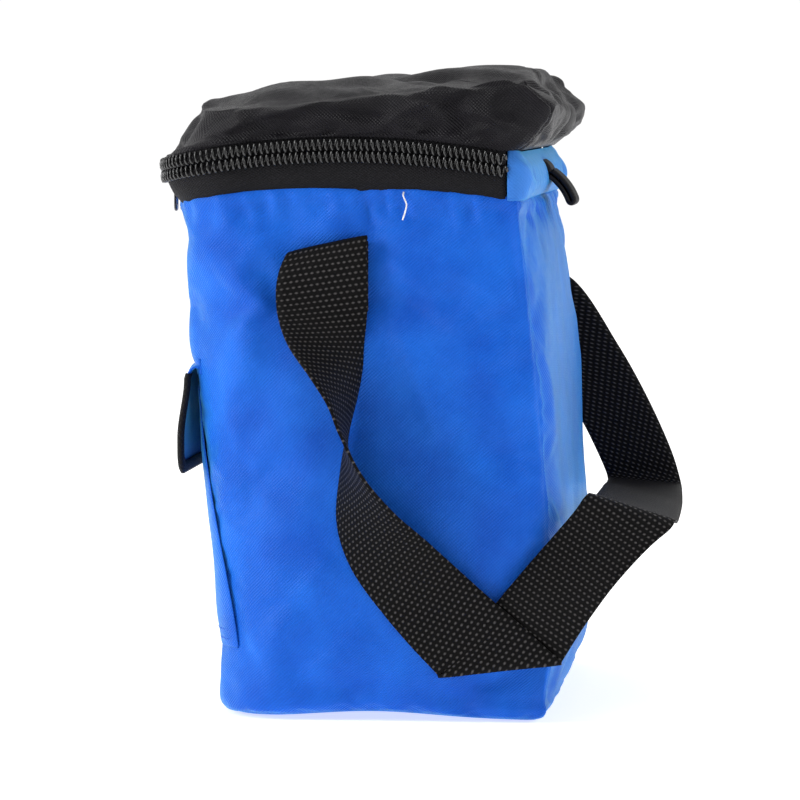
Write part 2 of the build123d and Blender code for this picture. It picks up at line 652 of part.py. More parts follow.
# ---------------------------------------------------------------- stitching
def make_stitching():
    """Box and cross stitches on the strap ends, and the two rows along the pocket's foot."""
    side = WIDTH / 2 + WEB
    low, high = STRAP_TOP - PATCH_LENGTH + BOX_INSET, STRAP_TOP - BOX_INSET_TOP
    reach = WEB_WIDTH / 2 - BOX_INSET
    front, back = STRAP_Y - reach, STRAP_Y + reach
    with BuildPart() as boxes:
        for sign in (1, -1):
            start = side if sign > 0 else -side - STITCH
            with BuildSketch(Plane.YZ.offset(start)):
                with Locations(((front + back) / 2, (low + high) / 2)):
                    Rectangle(back - front, high - low)
                    inner_size = (back - front - 2 * STITCH_WIDE, high - low - 2 * STITCH_WIDE)
                    Rectangle(*inner_size, mode=Mode.SUBTRACT)
                    for turn in (45, -45):
                        Rectangle(high - low, STITCH_WIDE, rotation=turn)
            extrude(amount=STITCH)
    save(boxes.part, "strap_stitching")

    outer = POCKET_ROOM + POCKET_CLOTH
    rows = []
    for z in (POCKET_FOOT + ROW_FIRST, POCKET_FOOT + ROW_SECOND):
        strip = block(-POCKET_HALF + ROW_INSET, POCKET_HALF - ROW_INSET, -OVERSIZE, 0, z, z + ROW_HIGH)
        rows.append(common(ring(outer + STITCH, outer, SKIN, MOUTH_HEIGHT), strip))
    save(joined(*rows), "pocket_stitching")


os.makedirs("parts", exist_ok=True)
make_walls()
make_zipper()
for hand, word in ((-1, "left"), (1, "right")):
    bar_y, bar_z = make_slider(hand, f"slider_{word}")
    make_pull(hand, bar_y, bar_z, f"pull_{word}")
    print(f"pull_{word} axis y {bar_y:.2f} z {bar_z:.2f}")
make_lid()
save(strip_block(), "hinge_strip")
make_tab()
make_strap()
make_flap(make_pocket())
make_stitching()
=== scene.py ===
"""Looks of the insulated cooler bag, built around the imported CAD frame.

Work is in millimetres, in the row frame: +X the bag's right side, -Y its front, +Z up. Meshes are
scaled to metres as they are made.
"""

import math

import bpy
import numpy as np
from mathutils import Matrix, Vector


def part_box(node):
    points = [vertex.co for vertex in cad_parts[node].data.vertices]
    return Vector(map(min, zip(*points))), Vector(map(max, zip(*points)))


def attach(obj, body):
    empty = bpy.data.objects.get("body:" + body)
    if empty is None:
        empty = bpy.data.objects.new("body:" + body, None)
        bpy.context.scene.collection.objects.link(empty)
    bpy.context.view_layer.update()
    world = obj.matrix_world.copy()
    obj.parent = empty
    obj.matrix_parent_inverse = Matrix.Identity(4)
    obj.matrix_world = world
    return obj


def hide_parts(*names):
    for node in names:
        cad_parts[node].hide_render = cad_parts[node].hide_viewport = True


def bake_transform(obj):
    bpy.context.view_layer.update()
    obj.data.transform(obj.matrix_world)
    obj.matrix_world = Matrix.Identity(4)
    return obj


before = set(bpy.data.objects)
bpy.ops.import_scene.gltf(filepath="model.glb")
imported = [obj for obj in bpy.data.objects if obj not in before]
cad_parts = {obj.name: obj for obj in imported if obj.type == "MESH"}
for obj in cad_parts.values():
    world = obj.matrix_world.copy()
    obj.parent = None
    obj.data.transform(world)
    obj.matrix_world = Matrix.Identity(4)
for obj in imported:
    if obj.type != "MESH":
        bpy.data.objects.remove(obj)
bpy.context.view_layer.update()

MM = 0.001


def cad_box(node):
    low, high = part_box(node)
    return np.array(low) / MM, np.array(high) / MM


# ---------------------------------------------------------------- sizes that follow the frame
HALF = cad_box("side_wrap")[1][0]
MOUTH_Z = 226.0
LEAN, BASE_DEPTH, MOUTH_DEPTH = 19.5, 144.0, 148.0  # the mouth leans forward over the base
FRONT_R, REAR_R = 30.0, 8.0  # corners in plan
RIM = (219.8, 226.5)  # heights of the body's upper edge, at its ends and its middle
COIL = (231.1, 242.0)  # the same of the zipper's middle
ARCH_REACH = 88.0  # from the middle of an arch to its ends
LIP = 4.8  # how far the zipper stands out in front of the wall
ZIP_Z = 236.0  # level that the zipper's outline in plan is taken at
ZIP_END = 48.6  # the zipper stops short of the back
SEAM_R = 3.0  # rear corners, where the back panel is seamed on
TUCK = 6.0  # how far the foot of the back is drawn in
ROW = 4.3  # each row of the coil
ROW_GAP = 1.8
ROW_MID = 2.55  # each row's middle from the zipper's middle
COIL_REACH = 2.3  # half height of each row, so that the two rows mesh in the middle
COIL_PITCH = 2.5
WIRE = 0.60  # radius of the coil's wire
WEB = 1.6


def centre_y(z):
    return -LEAN * z / MOUTH_Z


def half_depth(z):
    return (BASE_DEPTH + (MOUTH_DEPTH - BASE_DEPTH) * z / MOUTH_Z) / 2


def front_y(z):
    return centre_y(z) - half_depth(z)


def back_y(z):
    return centre_y(z) + half_depth(z)


def arch(y, ends):
    """Height of an edge that arches along the side, from its (end, middle) heights."""
    return ends[1] - (ends[1] - ends[0]) * ((y + LEAN) / ARCH_REACH) ** 2


# ---------------------------------------------------------------- small maths
def ease(x, low, high):
    t = np.clip((np.asarray(x, float) - low) / (high - low), 0, 1)
    return t * t * (3 - 2 * t)


def lumps(points, size, seed):
    """Smooth random height for each point, about -1 to 1, in lumps of about that size."""
    rng = np.random.default_rng(seed)
    points = np.asarray(points, float)
    total = np.zeros(points.shape[:-1])
    waves = 16
    for _ in range(waves):
        direction = rng.normal(size=points.shape[-1])
        direction /= np.linalg.norm(direction)
        wave = 2 * math.pi / (size * rng.uniform(0.8, 2.2))
        total += np.sin(points @ direction * wave + rng.uniform(0, 2 * math.pi))
    return total / math.sqrt(waves)


def fold(y, z, start, end, width, height, crisp=0.0):
    """Height of a ridge (or furrow, if negative) along a line; crisp makes its first side steep."""
    a, b = np.array(start, float), np.array(end, float)
    length = np.linalg.norm(b - a)
    d = (b - a) / length
    t = ((y - a[0]) * d[0] + (z - a[1]) * d[1]) / length
    side = (y - a[0]) * d[1] - (z - a[1]) * d[0]
    scale = width * np.where(side > 0, 1.0 - crisp, 1.0)
    taper = np.sqrt(np.clip(4 * t * (1 - t), 0, 1))
    return height * taper * np.exp(-((side / scale) ** 2))


def spline(points, step):
    """Centripetal Catmull-Rom through points of any dimension, sampled every step or so."""
    p = np.asarray(points, float)
    p = np.vstack([2 * p[0] - p[1], p, 2 * p[-1] - p[-2]])
    out = []
    for i in range(1, len(p) - 2):
        p0, p1, p2, p3 = p[i - 1 : i + 3]
        t0 = 0.0
        t1 = t0 + max(np.linalg.norm(p1 - p0), 1e-6) ** 0.5
        t2 = t1 + max(np.linalg.norm(p2 - p1), 1e-6) ** 0.5
        t3 = t2 + max(np.linalg.norm(p3 - p2), 1e-6) ** 0.5
        count = max(2, int(math.ceil(np.linalg.norm(p2 - p1) / step)))
        for t in np.linspace(t1, t2, count, endpoint=False):
            a1 = (t1 - t) / (t1 - t0) * p0 + (t - t0) / (t1 - t0) * p1
            a2 = (t2 - t) / (t2 - t1) * p1 + (t - t1) / (t2 - t1) * p2
            a3 = (t3 - t) / (t3 - t2) * p2 + (t - t2) / (t3 - t2) * p3
            b1 = (t2 - t) / (t2 - t0) * a1 + (t - t0) / (t2 - t0) * a2
            b2 = (t3 - t) / (t3 - t1) * a2 + (t - t1) / (t3 - t1) * a3
            out.append((t2 - t) / (t2 - t1) * b1 + (t - t1) / (t2 - t1) * b2)
    out.append(p[-2])
    return np.array(out)


def normals_of(grid, wrap=False):
    """Unit normals of a grid of points: first axis crossed with second."""
    if wrap:
        padded = np.concatenate([grid[:, -1:], grid, grid[:, :1]], axis=1)
        down = np.gradient(padded, axis=0)[:, 1:-1]
        along = np.gradient(padded, axis=1)[:, 1:-1]
    else:
        down, along = np.gradient(grid, axis=0), np.gradient(grid, axis=1)
    n = np.cross(down, along)
    return n / np.maximum(np.linalg.norm(n, axis=-1, keepdims=True), 1e-9)


# ---------------------------------------------------------------- meshes
def make_object(name, points, faces, uv=None):
    """A smooth mesh object from points in millimetres, faces, and a UV in millimetres a face corner."""
    mesh = bpy.data.meshes.new(name)
    mesh.from_pydata((np.asarray(points, float) * MM).tolist(), [], faces)
    if uv is not None:
        layer = mesh.uv_layers.new(name="cloth")
        layer.data.foreach_set("uv", np.asarray(uv, np.float32).ravel())
    mesh.polygons.foreach_set("use_smooth", [True] * len(mesh.polygons))
    mesh.update()
    obj = bpy.data.objects.new(name, mesh)
    bpy.context.scene.collection.objects.link(obj)
    return obj


def grid_faces(rows, columns, wrap=False, start=0, flip=False):
    """Quads of a grid of points, as an array of four indices each, and the same by row and column."""
    r = np.arange(rows - 1)[:, None]
    c = np.arange(columns if wrap else columns - 1)[None, :]
    corners = [(r, c), (r + 1, c), (r + 1, c + 1), (r, c + 1)]
    if flip:
        corners = corners[::-1]
    index = [start + (a + 0 * c) * columns + (b + 0 * r) % columns for a, b in corners]
    place = [(a + 0 * c, b + 0 * r) for a, b in corners]
    faces = np.stack([i.ravel() for i in index], axis=1)
    return faces, [(a.ravel(), b.ravel()) for a, b in place]


def grid_object(name, grid, u, v, wrap=False, flip=False):
    """One layer of cloth. u is the length of thread along each column edge, v down each row."""
    rows, columns = grid.shape[:2]
    faces, place = grid_faces(rows, columns, wrap, flip=flip)
    uv = np.stack([np.stack([u[b], v[a] if v.ndim == 1 else v[a, b % columns]], 1) for a, b in place], 1)
    return make_object(name, grid.reshape(-1, 3), faces.tolist(), uv)


def sheet_object(name, grid, thick, u=None, v=None, wrap=False):
    """Cloth with two faces and closed edges, thick across, in the middle of the given grid."""
    rows, columns = grid.shape[:2]
    n = normals_of(grid, wrap)
    top, bottom = grid + n * thick / 2, grid - n * thick / 2
    if u is None:
        u = lengths(grid[rows // 2])
    if v is None:
        v = lengths(grid[:, columns // 2])
    u = np.append(u, u[-1] + (u[-1] - u[-2])) if wrap and len(u) == columns else u
    if v.ndim == 1:
        v = np.repeat(v[:, None], columns, axis=1)
    points = np.concatenate([top.reshape(-1, 3), bottom.reshape(-1, 3)])
    faces, corners = [], []
    for start, flip in ((0, False), (rows * columns, True)):
        f, place = grid_faces(rows, columns, wrap, start, flip)
        faces.append(f)
        corners.append(np.stack([np.stack([u[b], v[a, b % columns]], 1) for a, b in place], 1))
    half = rows * columns
    rims = [[(r, c) for c in range(columns + (1 if wrap else 0))] for r in (0, rows - 1)]
    if not wrap:
        rims += [[(r, c) for r in range(rows)] for c in (0, columns - 1)]
    for number, rim in enumerate(rims):
        turn = number in (1, 2)
        for (a, b), (c, d) in zip(rim, rim[1:]):
            one, two = a * columns + b % columns, c * columns + d % columns
            quad = [one, two, two + half, one + half]
            place = [(u[b], v[a, b % columns]), (u[d], v[c, d % columns])]
            ends = [place[0], place[1], place[1], place[0]]
            faces.append(np.array([quad[::-1] if turn else quad]))
            corners.append(np.array([ends[::-1] if turn else ends]))
    return make_object(name, points, np.concatenate(faces).tolist(), np.concatenate(corners))


def lengths(line):
    """Running length along a line of points."""
    steps = np.linalg.norm(np.diff(line, axis=0), axis=1)
    return np.concatenate([[0.0], np.cumsum(steps)])


def tube(line, radius, sides=6, squash=1.0, side_hint=(0, 0, 1), capped=True):
    """Points and faces of a round tube along a line of points."""
    line = np.asarray(line, float)
    tangent = np.gradient(line, axis=0)
    tangent /= np.linalg.norm(tangent, axis=1, keepdims=True)
    hint = np.array(side_hint, float)
    first = np.cross(tangent, hint)
    weak = np.linalg.norm(first, axis=1) < 1e-3
    first[weak] = np.cross(tangent[weak], (1.0, 0.3, 0.2))
    first /= np.linalg.norm(first, axis=1, keepdims=True)
    second = np.cross(tangent, first)
    angles = np.arange(sides) * 2 * math.pi / sides
    radius = np.broadcast_to(np.asarray(radius, float), len(line))[:, None, None]
    cosines, sines = np.cos(angles)[None, :, None], np.sin(angles)[None, :, None]
    ring = cosines * first[:, None] + squash * sines * second[:, None]
    points = line[:, None] + radius * ring
    faces, _ = grid_faces(len(line), sides, wrap=True, flip=True)
    count = len(line) * sides
    points = points.reshape(-1, 3)
    faces = faces.tolist()
    if capped:
        points = np.vstack([points, line[0], line[-1]])
        last = (len(line) - 1) * sides
        for k in range(sides):
            faces.append([k, count, (k + 1) % sides])
            faces.append([last + (k + 1) % sides, count + 1, last + k])
    return points, faces


def merged(name, parts):
    """One object from several (points, faces)."""
    points, faces, start = [], [], 0
    for p, f in parts:
        points.append(np.asarray(p, float))
        faces += [[i + start for i in face] for face in f]
        start += len(p)
    return make_object(name, np.concatenate(points), faces)


def stitches(line, length=2.8, gap=0.9, radius=0.28, lift=None):
    """Raised stitches along a line, as parts for merged()."""
    run = lengths(line)
    parts = []
    start = gap
    while start + length < run[-1]:
        t = start + np.linspace(0, 1, 5) * length
        p = np.stack([np.interp(t, run, line[:, k]) for k in range(3)], 1)
        sink = np.array([-0.25, 0.1, 0.2, 0.1, -0.25])[:, None]
        if lift is not None:
            p = p + sink * np.asarray(lift, float)
        parts.append(tube(p, radius * np.array([0.6, 1, 1, 1, 0.6]), sides=5))
        start += length + gap
    return parts


def apply_modifiers(obj):
    graph = bpy.context.evaluated_depsgraph_get()
    shaped = obj.evaluated_get(graph)
    mesh = bpy.data.meshes.new_from_object(shaped, preserve_all_data_layers=True, depsgraph=graph)
    obj.modifiers.clear()
    obj.data = mesh
    return obj


def subdivide(obj):
    mod = obj.modifiers.new("smooth", "SUBSURF")
    mod.levels = mod.render_levels = 1
    mod.boundary_smooth = "PRESERVE_CORNERS"
    apply_modifiers(obj)
    obj.data.polygons.foreach_set("use_smooth", [True] * len(obj.data.polygons))


def get_points(obj):
    co = np.zeros(len(obj.data.vertices) * 3, np.float32)
    obj.data.vertices.foreach_get("co", co)
    return co.reshape(-1, 3).astype(float) / MM


def set_points(obj, points):
    obj.data.vertices.foreach_set("co", (np.asarray(points) * MM).astype(np.float32).ravel())
    obj.data.update()


def vertex_normals(obj):
    n = np.zeros(len(obj.data.vertices) * 3, np.float32)
    obj.data.vertices.foreach_get("normal", n)
    return n.reshape(-1, 3).astype(float)


def lay_flat(obj):
    """Thread coordinates taken straight from each face's place, so that the weave keeps its size."""
    mesh = obj.data
    points = get_points(obj)
    layer = mesh.uv_layers.get("cloth") or mesh.uv_layers.new(name="cloth")
    uv = np.zeros((len(mesh.loops), 2), np.float32)
    for face in mesh.polygons:
        nx, ny, nz = (abs(c) for c in face.normal)
        axes = (0, 1) if nz > 0.62 else ((1, 2) if nx > ny else (0, 2))
        for loop in face.loop_indices:
            uv[loop] = points[mesh.loops[loop].vertex_index][list(axes)]
    layer.data.foreach_set("uv", uv.ravel())


SLIP = 2.0  # how far settled cloth may slide along itself
SETTLE_FRAMES = 22


def settle(obj, pin, pressure, slack, reach_out, reach_in, bending=0.4):
    """Lets cloth bulge and crumple between its pinned points, within a reach of where it was."""
    rest = get_points(obj)
    outward = vertex_normals(obj)
    group = obj.vertex_groups.new(name="pin")
    for weight in np.unique(np.round(pin, 1)):
        if weight > 0:
            chosen = np.nonzero(np.round(pin, 1) == weight)[0]
            group.add(chosen.tolist(), float(weight), "REPLACE")
    mod = obj.modifiers.new("Cloth", "CLOTH")
    cloth = mod.settings
    cloth.quality = 6
    cloth.mass = 0.12
    cloth.tension_stiffness = cloth.compression_stiffness = 25
    cloth.shear_stiffness = 8
    cloth.bending_stiffness = bending
    cloth.vertex_group_mass = "pin"
    cloth.use_pressure = True
    cloth.uniform_pressure_force = pressure
    cloth.shrink_min = -slack
    cloth.effector_weights.gravity = 0
    mod.point_cache.frame_end = SETTLE_FRAMES
    scene = bpy.context.scene
    for number in range(1, SETTLE_FRAMES + 1):
        scene.frame_set(number)
    graph = bpy.context.evaluated_depsgraph_get()
    shaped = obj.evaluated_get(graph).data
    moved = np.zeros(len(shaped.vertices) * 3, np.float32)
    shaped.vertices.foreach_get("co", moved)
    shift = moved.reshape(-1, 3).astype(float) / MM - rest
    obj.modifiers.clear()
    obj.vertex_groups.clear()
    scene.frame_set(1)
    out = np.sum(shift * outward, axis=1)
    limited = np.where(out > 0, reach_out * np.tanh(out / reach_out), reach_in * np.tanh(out / reach_in))
    along = shift - out[:, None] * outward
    length = np.linalg.norm(along, axis=1, keepdims=True)
    along *= SLIP * np.tanh(length / SLIP) / np.maximum(length, 1e-6)
    set_points(obj, rest + along + limited[:, None] * outward)


# ---------------------------------------------------------------- materials
class Shader:
    """A principled material under construction."""

    def __init__(self, name):
        self.mat = bpy.data.materials.new(name)
        self.mat.use_nodes = True
        self.nodes = self.mat.node_tree.nodes
        self.links = self.mat.node_tree.links
        self.bsdf = self.nodes["Principled BSDF"]

    def put(self, socket, value):
        """Sets a socket to a number or colour, or links another socket to it."""
        if isinstance(value, bpy.types.NodeSocket):
            self.links.new(value, socket)
        elif isinstance(value, tuple) and len(value) == 3 and socket.type == "RGBA":
            socket.default_value = (*value, 1.0)
        else:
            socket.default_value = value

    def set(self, **values):
        for key, value in values.items():
            self.put(self.bsdf.inputs[key.replace("_", " ")], value)
        return self

    def math(self, operation, *values, clamp=False):
        node = self.nodes.new("ShaderNodeMath")
        node.operation = operation
        node.use_clamp = clamp
        for socket, value in zip(node.inputs, values):
            self.put(socket, value)
        return node.outputs[0]

    def cloth(self):
        """The thread coordinates, in millimetres."""
        node = self.nodes.new("ShaderNodeUVMap")
        node.uv_map = "cloth"
        split = self.nodes.new("ShaderNodeSeparateXYZ")
        self.links.new(node.outputs[0], split.inputs[0])
        return split.outputs[0], split.outputs[1]

    def noise(self, scale, detail=3.0, rough=0.5):
        """Noise over the object; scale is in lumps per metre."""
        where = self.nodes.new("ShaderNodeTexCoord")
        node = self.nodes.new("ShaderNodeTexNoise")
        node.inputs["Scale"].default_value = scale
        node.inputs["Detail"].default_value = detail
        node.inputs["Roughness"].default_value = rough
        self.links.new(where.outputs["Object"], node.inputs["Vector"])
        return node.outputs["Fac"]

    def remap(self, value, low, high, new_low, new_high):
        node = self.nodes.new("ShaderNodeMapRange")
        for socket, item in zip(node.inputs, (value, low, high, new_low, new_high)):
            self.put(socket, item)
        return node.outputs[0]

    def mix(self, share, first, second):
        node = self.nodes.new("ShaderNodeMix")
        node.data_type = "RGBA"
        self.put(node.inputs["Factor"], share)
        colours = [s for s in node.inputs if s.type == "RGBA"]
        self.put(colours[0], first)
        self.put(colours[1], second)
        return [s for s in node.outputs if s.type == "RGBA"][0]

    def wave(self, u, v, across, along, pitch):
        """A sine of the distance across threads that run at a slant, from -1 to 1."""
        k = 2 * math.pi / pitch
        first = self.math("MULTIPLY", u, across * k)
        second = self.math("MULTIPLY", v, along * k)
        return self.math("SINE", self.math("ADD", first, second))

    def bump(self, height, distance, strength=1.0, under=None):
        node = self.nodes.new("ShaderNodeBump")
        node.inputs["Strength"].default_value = strength
        node.inputs["Distance"].default_value = distance
        self.links.new(height, node.inputs["Height"])
        if under is not None:
            self.links.new(under, node.inputs["Normal"])
        return node.outputs[0]


HAZE = (0.18, 0.85, 1.0)  # colour of the blue cloth where light grazes it


def nylon(name, dark, light, roughness, weave_depth, coat, sheen, crumple, specular):
    """Coated nylon with a fine slanted weave that shows in its highlights."""
    s = Shader(name)
    u, v = s.cloth()
    twill = s.wave(u, v, 0.66, 0.75, 1.05)
    cross = s.wave(u, v, 0.75, -0.66, 1.05)
    weave = s.math("MULTIPLY_ADD", cross, 0.45, twill)
    patchy = s.noise(38.0, 3.0)
    tone = s.remap(patchy, 0.3, 0.7, 0.0, 1.0)
    tone = s.math("MULTIPLY_ADD", weave, 0.14, tone, clamp=True)
    s.set(Base_Color=s.mix(tone, dark, light))
    grain = s.noise(420.0, 2.0)
    s.set(Roughness=s.remap(grain, 0.3, 0.7, roughness - 0.06, roughness + 0.06))
    rough_cloth = s.bump(s.noise(150.0, 4.0, 0.6), 0.0009, crumple)
    s.set(Normal=s.bump(weave, weave_depth, 1.0, rough_cloth))
    s.set(Coat_Weight=coat, Coat_Roughness=0.28, Sheen_Weight=sheen, Sheen_Roughness=0.35)
    s.set(Specular_IOR_Level=specular, Sheen_Tint=HAZE)
    return s


def webbing(name, base, tip, roughness):
    """Basket-weave webbing: staggered rows of small floats, whose tops are coloured as a painted highlight.
    """
    s = Shader(name)
    u, v = s.cloth()
    across, along = 2.2, 2.5
    row = s.math("DIVIDE", v, along)
    number = s.math("FLOOR", row)
    odd = s.math("MULTIPLY", s.math("MODULO", number, 2.0), 0.5)
    column = s.math("ADD", s.math("DIVIDE", u, across), odd)
    du = s.math("SUBTRACT", s.math("FRACT", column), 0.5)
    dv = s.math("SUBTRACT", s.math("FRACT", row), 0.5)
    aside = s.math("POWER", s.math("ABSOLUTE", s.math("MULTIPLY", du, 2.5)), 2.0)
    beyond = s.math("POWER", s.math("ABSOLUTE", s.math("MULTIPLY", dv, 3.4)), 2.0)
    far = s.math("ADD", aside, beyond)
    float_top = s.math("SUBTRACT", 1.0, far, clamp=True)
    fibre = s.wave(u, v, 1.0, 0.12, 0.42)
    height = s.math("MULTIPLY_ADD", fibre, 0.05, float_top)
    # painted highlight: the float tops are coloured far lighter than the black ground, standing in for the
    # glints of light on the raised floats
    s.set(Base_Color=s.mix(s.math("POWER", float_top, 2.0), base, tip))
    s.set(Roughness=s.remap(float_top, 0.0, 1.0, roughness + 0.25, roughness))
    s.set(Normal=s.bump(height, 0.0007, 1.0, s.bump(s.noise(900.0, 2.0), 0.0003, 0.4)))
    s.set(Sheen_Weight=0.0, Specular_IOR_Level=0.09)
    return s


def knit(name, base, tip, roughness, pitch, depth):
    """Narrow tape knitted in fine herringbone ribs."""
    s = Shader(name)
    u, v = s.cloth()
    rib = s.wave(u, v, 0.5, 0.86, pitch)
    other = s.wave(u, v, 0.5, -0.86, pitch)
    height = s.math("MULTIPLY", s.math("ADD", rib, other), 0.5)
    specks = s.remap(s.noise(1600.0, 2.0), 0.45, 0.75, 0.0, 1.0)
    ribs = s.remap(height, -1.0, 1.0, 0.0, 1.0)
    tone = s.math("MULTIPLY_ADD", ribs, 0.5, s.math("MULTIPLY", specks, 0.5))
    s.set(Base_Color=s.mix(tone, base, tip))
    s.set(Roughness=s.remap(specks, 0.0, 1.0, roughness, roughness - 0.12))
    s.set(Normal=s.bump(height, depth, 0.9, s.bump(s.noise(700.0, 3.0), 0.0004, 0.5)))
    s.set(Sheen_Weight=0.0, Specular_IOR_Level=0.12)
    return s


def plain(name, base, tip, roughness, scale, depth, metallic=0.0, coat=0.0, specular=0.3):
    """A material with fine mottling of colour, roughness and surface."""
    s = Shader(name)
    spread = 0.08
    fine = s.noise(scale, 4.0, 0.6)
    s.set(Base_Color=s.mix(s.remap(fine, 0.35, 0.65, 0.0, 1.0), base, tip))
    s.set(Roughness=s.remap(s.noise(scale * 0.4, 3.0), 0.3, 0.7, roughness - spread, roughness + spread))
    s.set(Metallic=metallic, Coat_Weight=coat, Coat_Roughness=0.12, Specular_IOR_Level=specular)
    s.set(Normal=s.bump(fine, depth, 0.7))
    return s


BLUE = nylon("blue_nylon", (0.004, 0.085, 0.53), (0.010, 0.140, 0.70), roughness=0.38, weave_depth=0.00007,
             coat=0.03, sheen=0.55, crumple=0.30, specular=0.12)
# painted light: a paler, greyer copy of the shell's blue nylon, the same cloth, coloured lighter for the
# light that the hinge strip catches
BLUE_PAINTED_LIGHTER = nylon("blue_nylon_strip", (0.030, 0.160, 0.56), (0.050, 0.220, 0.68), roughness=0.46,
             weave_depth=0.00005, coat=0.0, sheen=0.55, crumple=0.25, specular=0.15)
BLACK = nylon("black_nylon", (0.005, 0.0045, 0.006), (0.012, 0.011, 0.014), roughness=0.34,
              weave_depth=0.00012, coat=0.0, sheen=0.0, crumple=0.35, specular=0.13)
# the webbing's second colour is a painted highlight on its float tops
WEBBING = webbing("black_webbing", (0.0022, 0.002, 0.0022), (0.085, 0.080, 0.080), 0.34)
TAPE = knit("zipper_tape_knit", (0.005, 0.005, 0.006), (0.018, 0.017, 0.020), 0.72, 0.9, 0.00014)
BINDING = knit("binding_tape_weave", (0.006, 0.006, 0.007), (0.018, 0.018, 0.020), 0.62, 1.3, 0.00014)
COIL_MAT = plain("coil_nylon", (0.003, 0.003, 0.003), (0.006, 0.006, 0.007), 0.20, 900.0, 0.00003,
                 coat=0.5, specular=0.5)
METAL = plain("black_enamel", (0.020, 0.020, 0.022), (0.032, 0.032, 0.035), 0.30, 500.0, 0.00005,
              metallic=0.35, coat=0.5)
LINER = plain("silver_liner", (0.52, 0.53, 0.55), (0.66, 0.67, 0.69), 0.30, 120.0, 0.0006,
              metallic=0.35, coat=0.2)
FASTENER = plain("hook_and_loop", (0.010, 0.010, 0.012), (0.040, 0.040, 0.044), 0.85, 1500.0, 0.0006)
THREAD = plain("black_thread", (0.012, 0.012, 0.014), (0.030, 0.030, 0.034), 0.50, 1800.0, 0.0001)
BLUE_THREAD = plain("blue_thread", (0.010, 0.090, 0.50), (0.030, 0.170, 0.72), 0.50, 1800.0, 0.0001)
WHITE_THREAD = plain("white_thread", (0.78, 0.77, 0.74), (0.88, 0.87, 0.85), 0.60, 1800.0, 0.0001)


def finish_piece(obj, shader, slot, body, *stands_for):
    """Gives a piece its material, hangs it on its body and hides the parts that it stands for; slot is not
    used.
    """
    obj.data.materials.clear()
    obj.data.materials.append(shader.mat)
    if stands_for:
        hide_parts(*stands_for)
    if body:
        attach(obj, body)


# ---------------------------------------------------------------- the blue body
def compass(start, end, count):
    """Cosines and sines of evenly spaced angles in degrees, without the last."""
    angles = np.radians(np.linspace(start, end, count, endpoint=False))
    return np.cos(angles), np.sin(angles)


def rounded_loop(half, front, back, front_r, rear_r, counts):
    """Points round a rounded rectangle from the middle of the back, by the right side and the front.

    Each row is a point and its outward direction; counts are the points on each stretch of one half.
    """
    on_back, on_rear, on_side, on_corner, on_front = counts
    x = np.linspace(0, half - rear_r, on_back, endpoint=False)
    parts = [np.stack([x, 0 * x + back, 0 * x, 0 * x + 1], 1)]
    c, s = compass(90, 0, on_rear)
    parts.append(np.stack([half - rear_r + rear_r * c, back - rear_r + rear_r * s, c, s], 1))
    y = np.linspace(back - rear_r, front + front_r, on_side, endpoint=False)
    parts.append(np.stack([0 * y + half, y, 0 * y + 1, 0 * y], 1))
    c, s = compass(0, -90, on_corner)
    parts.append(np.stack([half - front_r + front_r * c, front + front_r + front_r * s, c, s], 1))
    x = np.linspace(half - front_r, 0, on_front, endpoint=False)
    parts.append(np.stack([x, 0 * x + front, 0 * x, 0 * x - 1], 1))
    right = np.concatenate(parts)
    left = right[1:][::-1] * (-1, 1, -1, 1)
    return np.concatenate([right, [[0, front, 0, -1]], left])


BODY_COUNTS = (30, 4, 30, 13, 21)
UNDER = 7.0  # radius of the soft bottom edge
FLOOR_Z = 0.5  # underside's stand over the floor
WALL_FOOT = 8.5  # where the walls start above the bottom edge
SAMPLE_ROW, SAMPLE_COLUMN = 35, 45  # where the cloth's lengths are measured


def wall_loop(z, inset, front_r, rear_r, counts=BODY_COUNTS):
    """The body's outline at a level, in from its wall by inset."""
    return rounded_loop(HALF - inset, front_y(z) + inset, back_y(z) - inset, front_r, rear_r, counts)


def around(grid, row):
    """Running length round a closed row of a grid."""
    return lengths(np.vstack([grid[row], grid[row][:1]]))


def body_grid():
    """Rows of points from the middle of the underside, round its edge and up to the rim."""
    rows = []
    for share in (0.12, 0.3, 0.5, 0.7, 0.85):
        ring = wall_loop(0, UNDER, FRONT_R - UNDER, 1.0)
        middle = np.array([0.0, (front_y(0) + back_y(0)) / 2])
        flat = middle + (ring[:, :2] - middle) * share
        rows.append(np.column_stack([flat, np.full(len(flat), FLOOR_Z)]))
    for turn in np.radians(np.linspace(0, 78, 6)):
        inset = UNDER * (1 - math.sin(turn))
        z = FLOOR_Z + UNDER * (1 - math.cos(turn))
        ring = wall_loop(z, inset, FRONT_R - inset * 0.8, SEAM_R)
        rows.append(np.column_stack([ring[:, :2], np.full(len(ring), z)]))
    wall_rows = 62
    for share in np.linspace(0, 1, wall_rows + 1)[1:]:
        guess = 10.5 + (RIM[1] - 10.5) * share
        ring = wall_loop(guess, 0.0, FRONT_R, SEAM_R)
        z = WALL_FOOT + (arch(ring[:, 1], RIM) - WALL_FOOT) * share
        ring = wall_loop(z.mean(), 0.0, FRONT_R, SEAM_R)
        y = ring[:, 1] + centre_y(z) - centre_y(z.mean())
        rows.append(np.column_stack([ring[:, 0], y, z]))
    return np.array(rows)


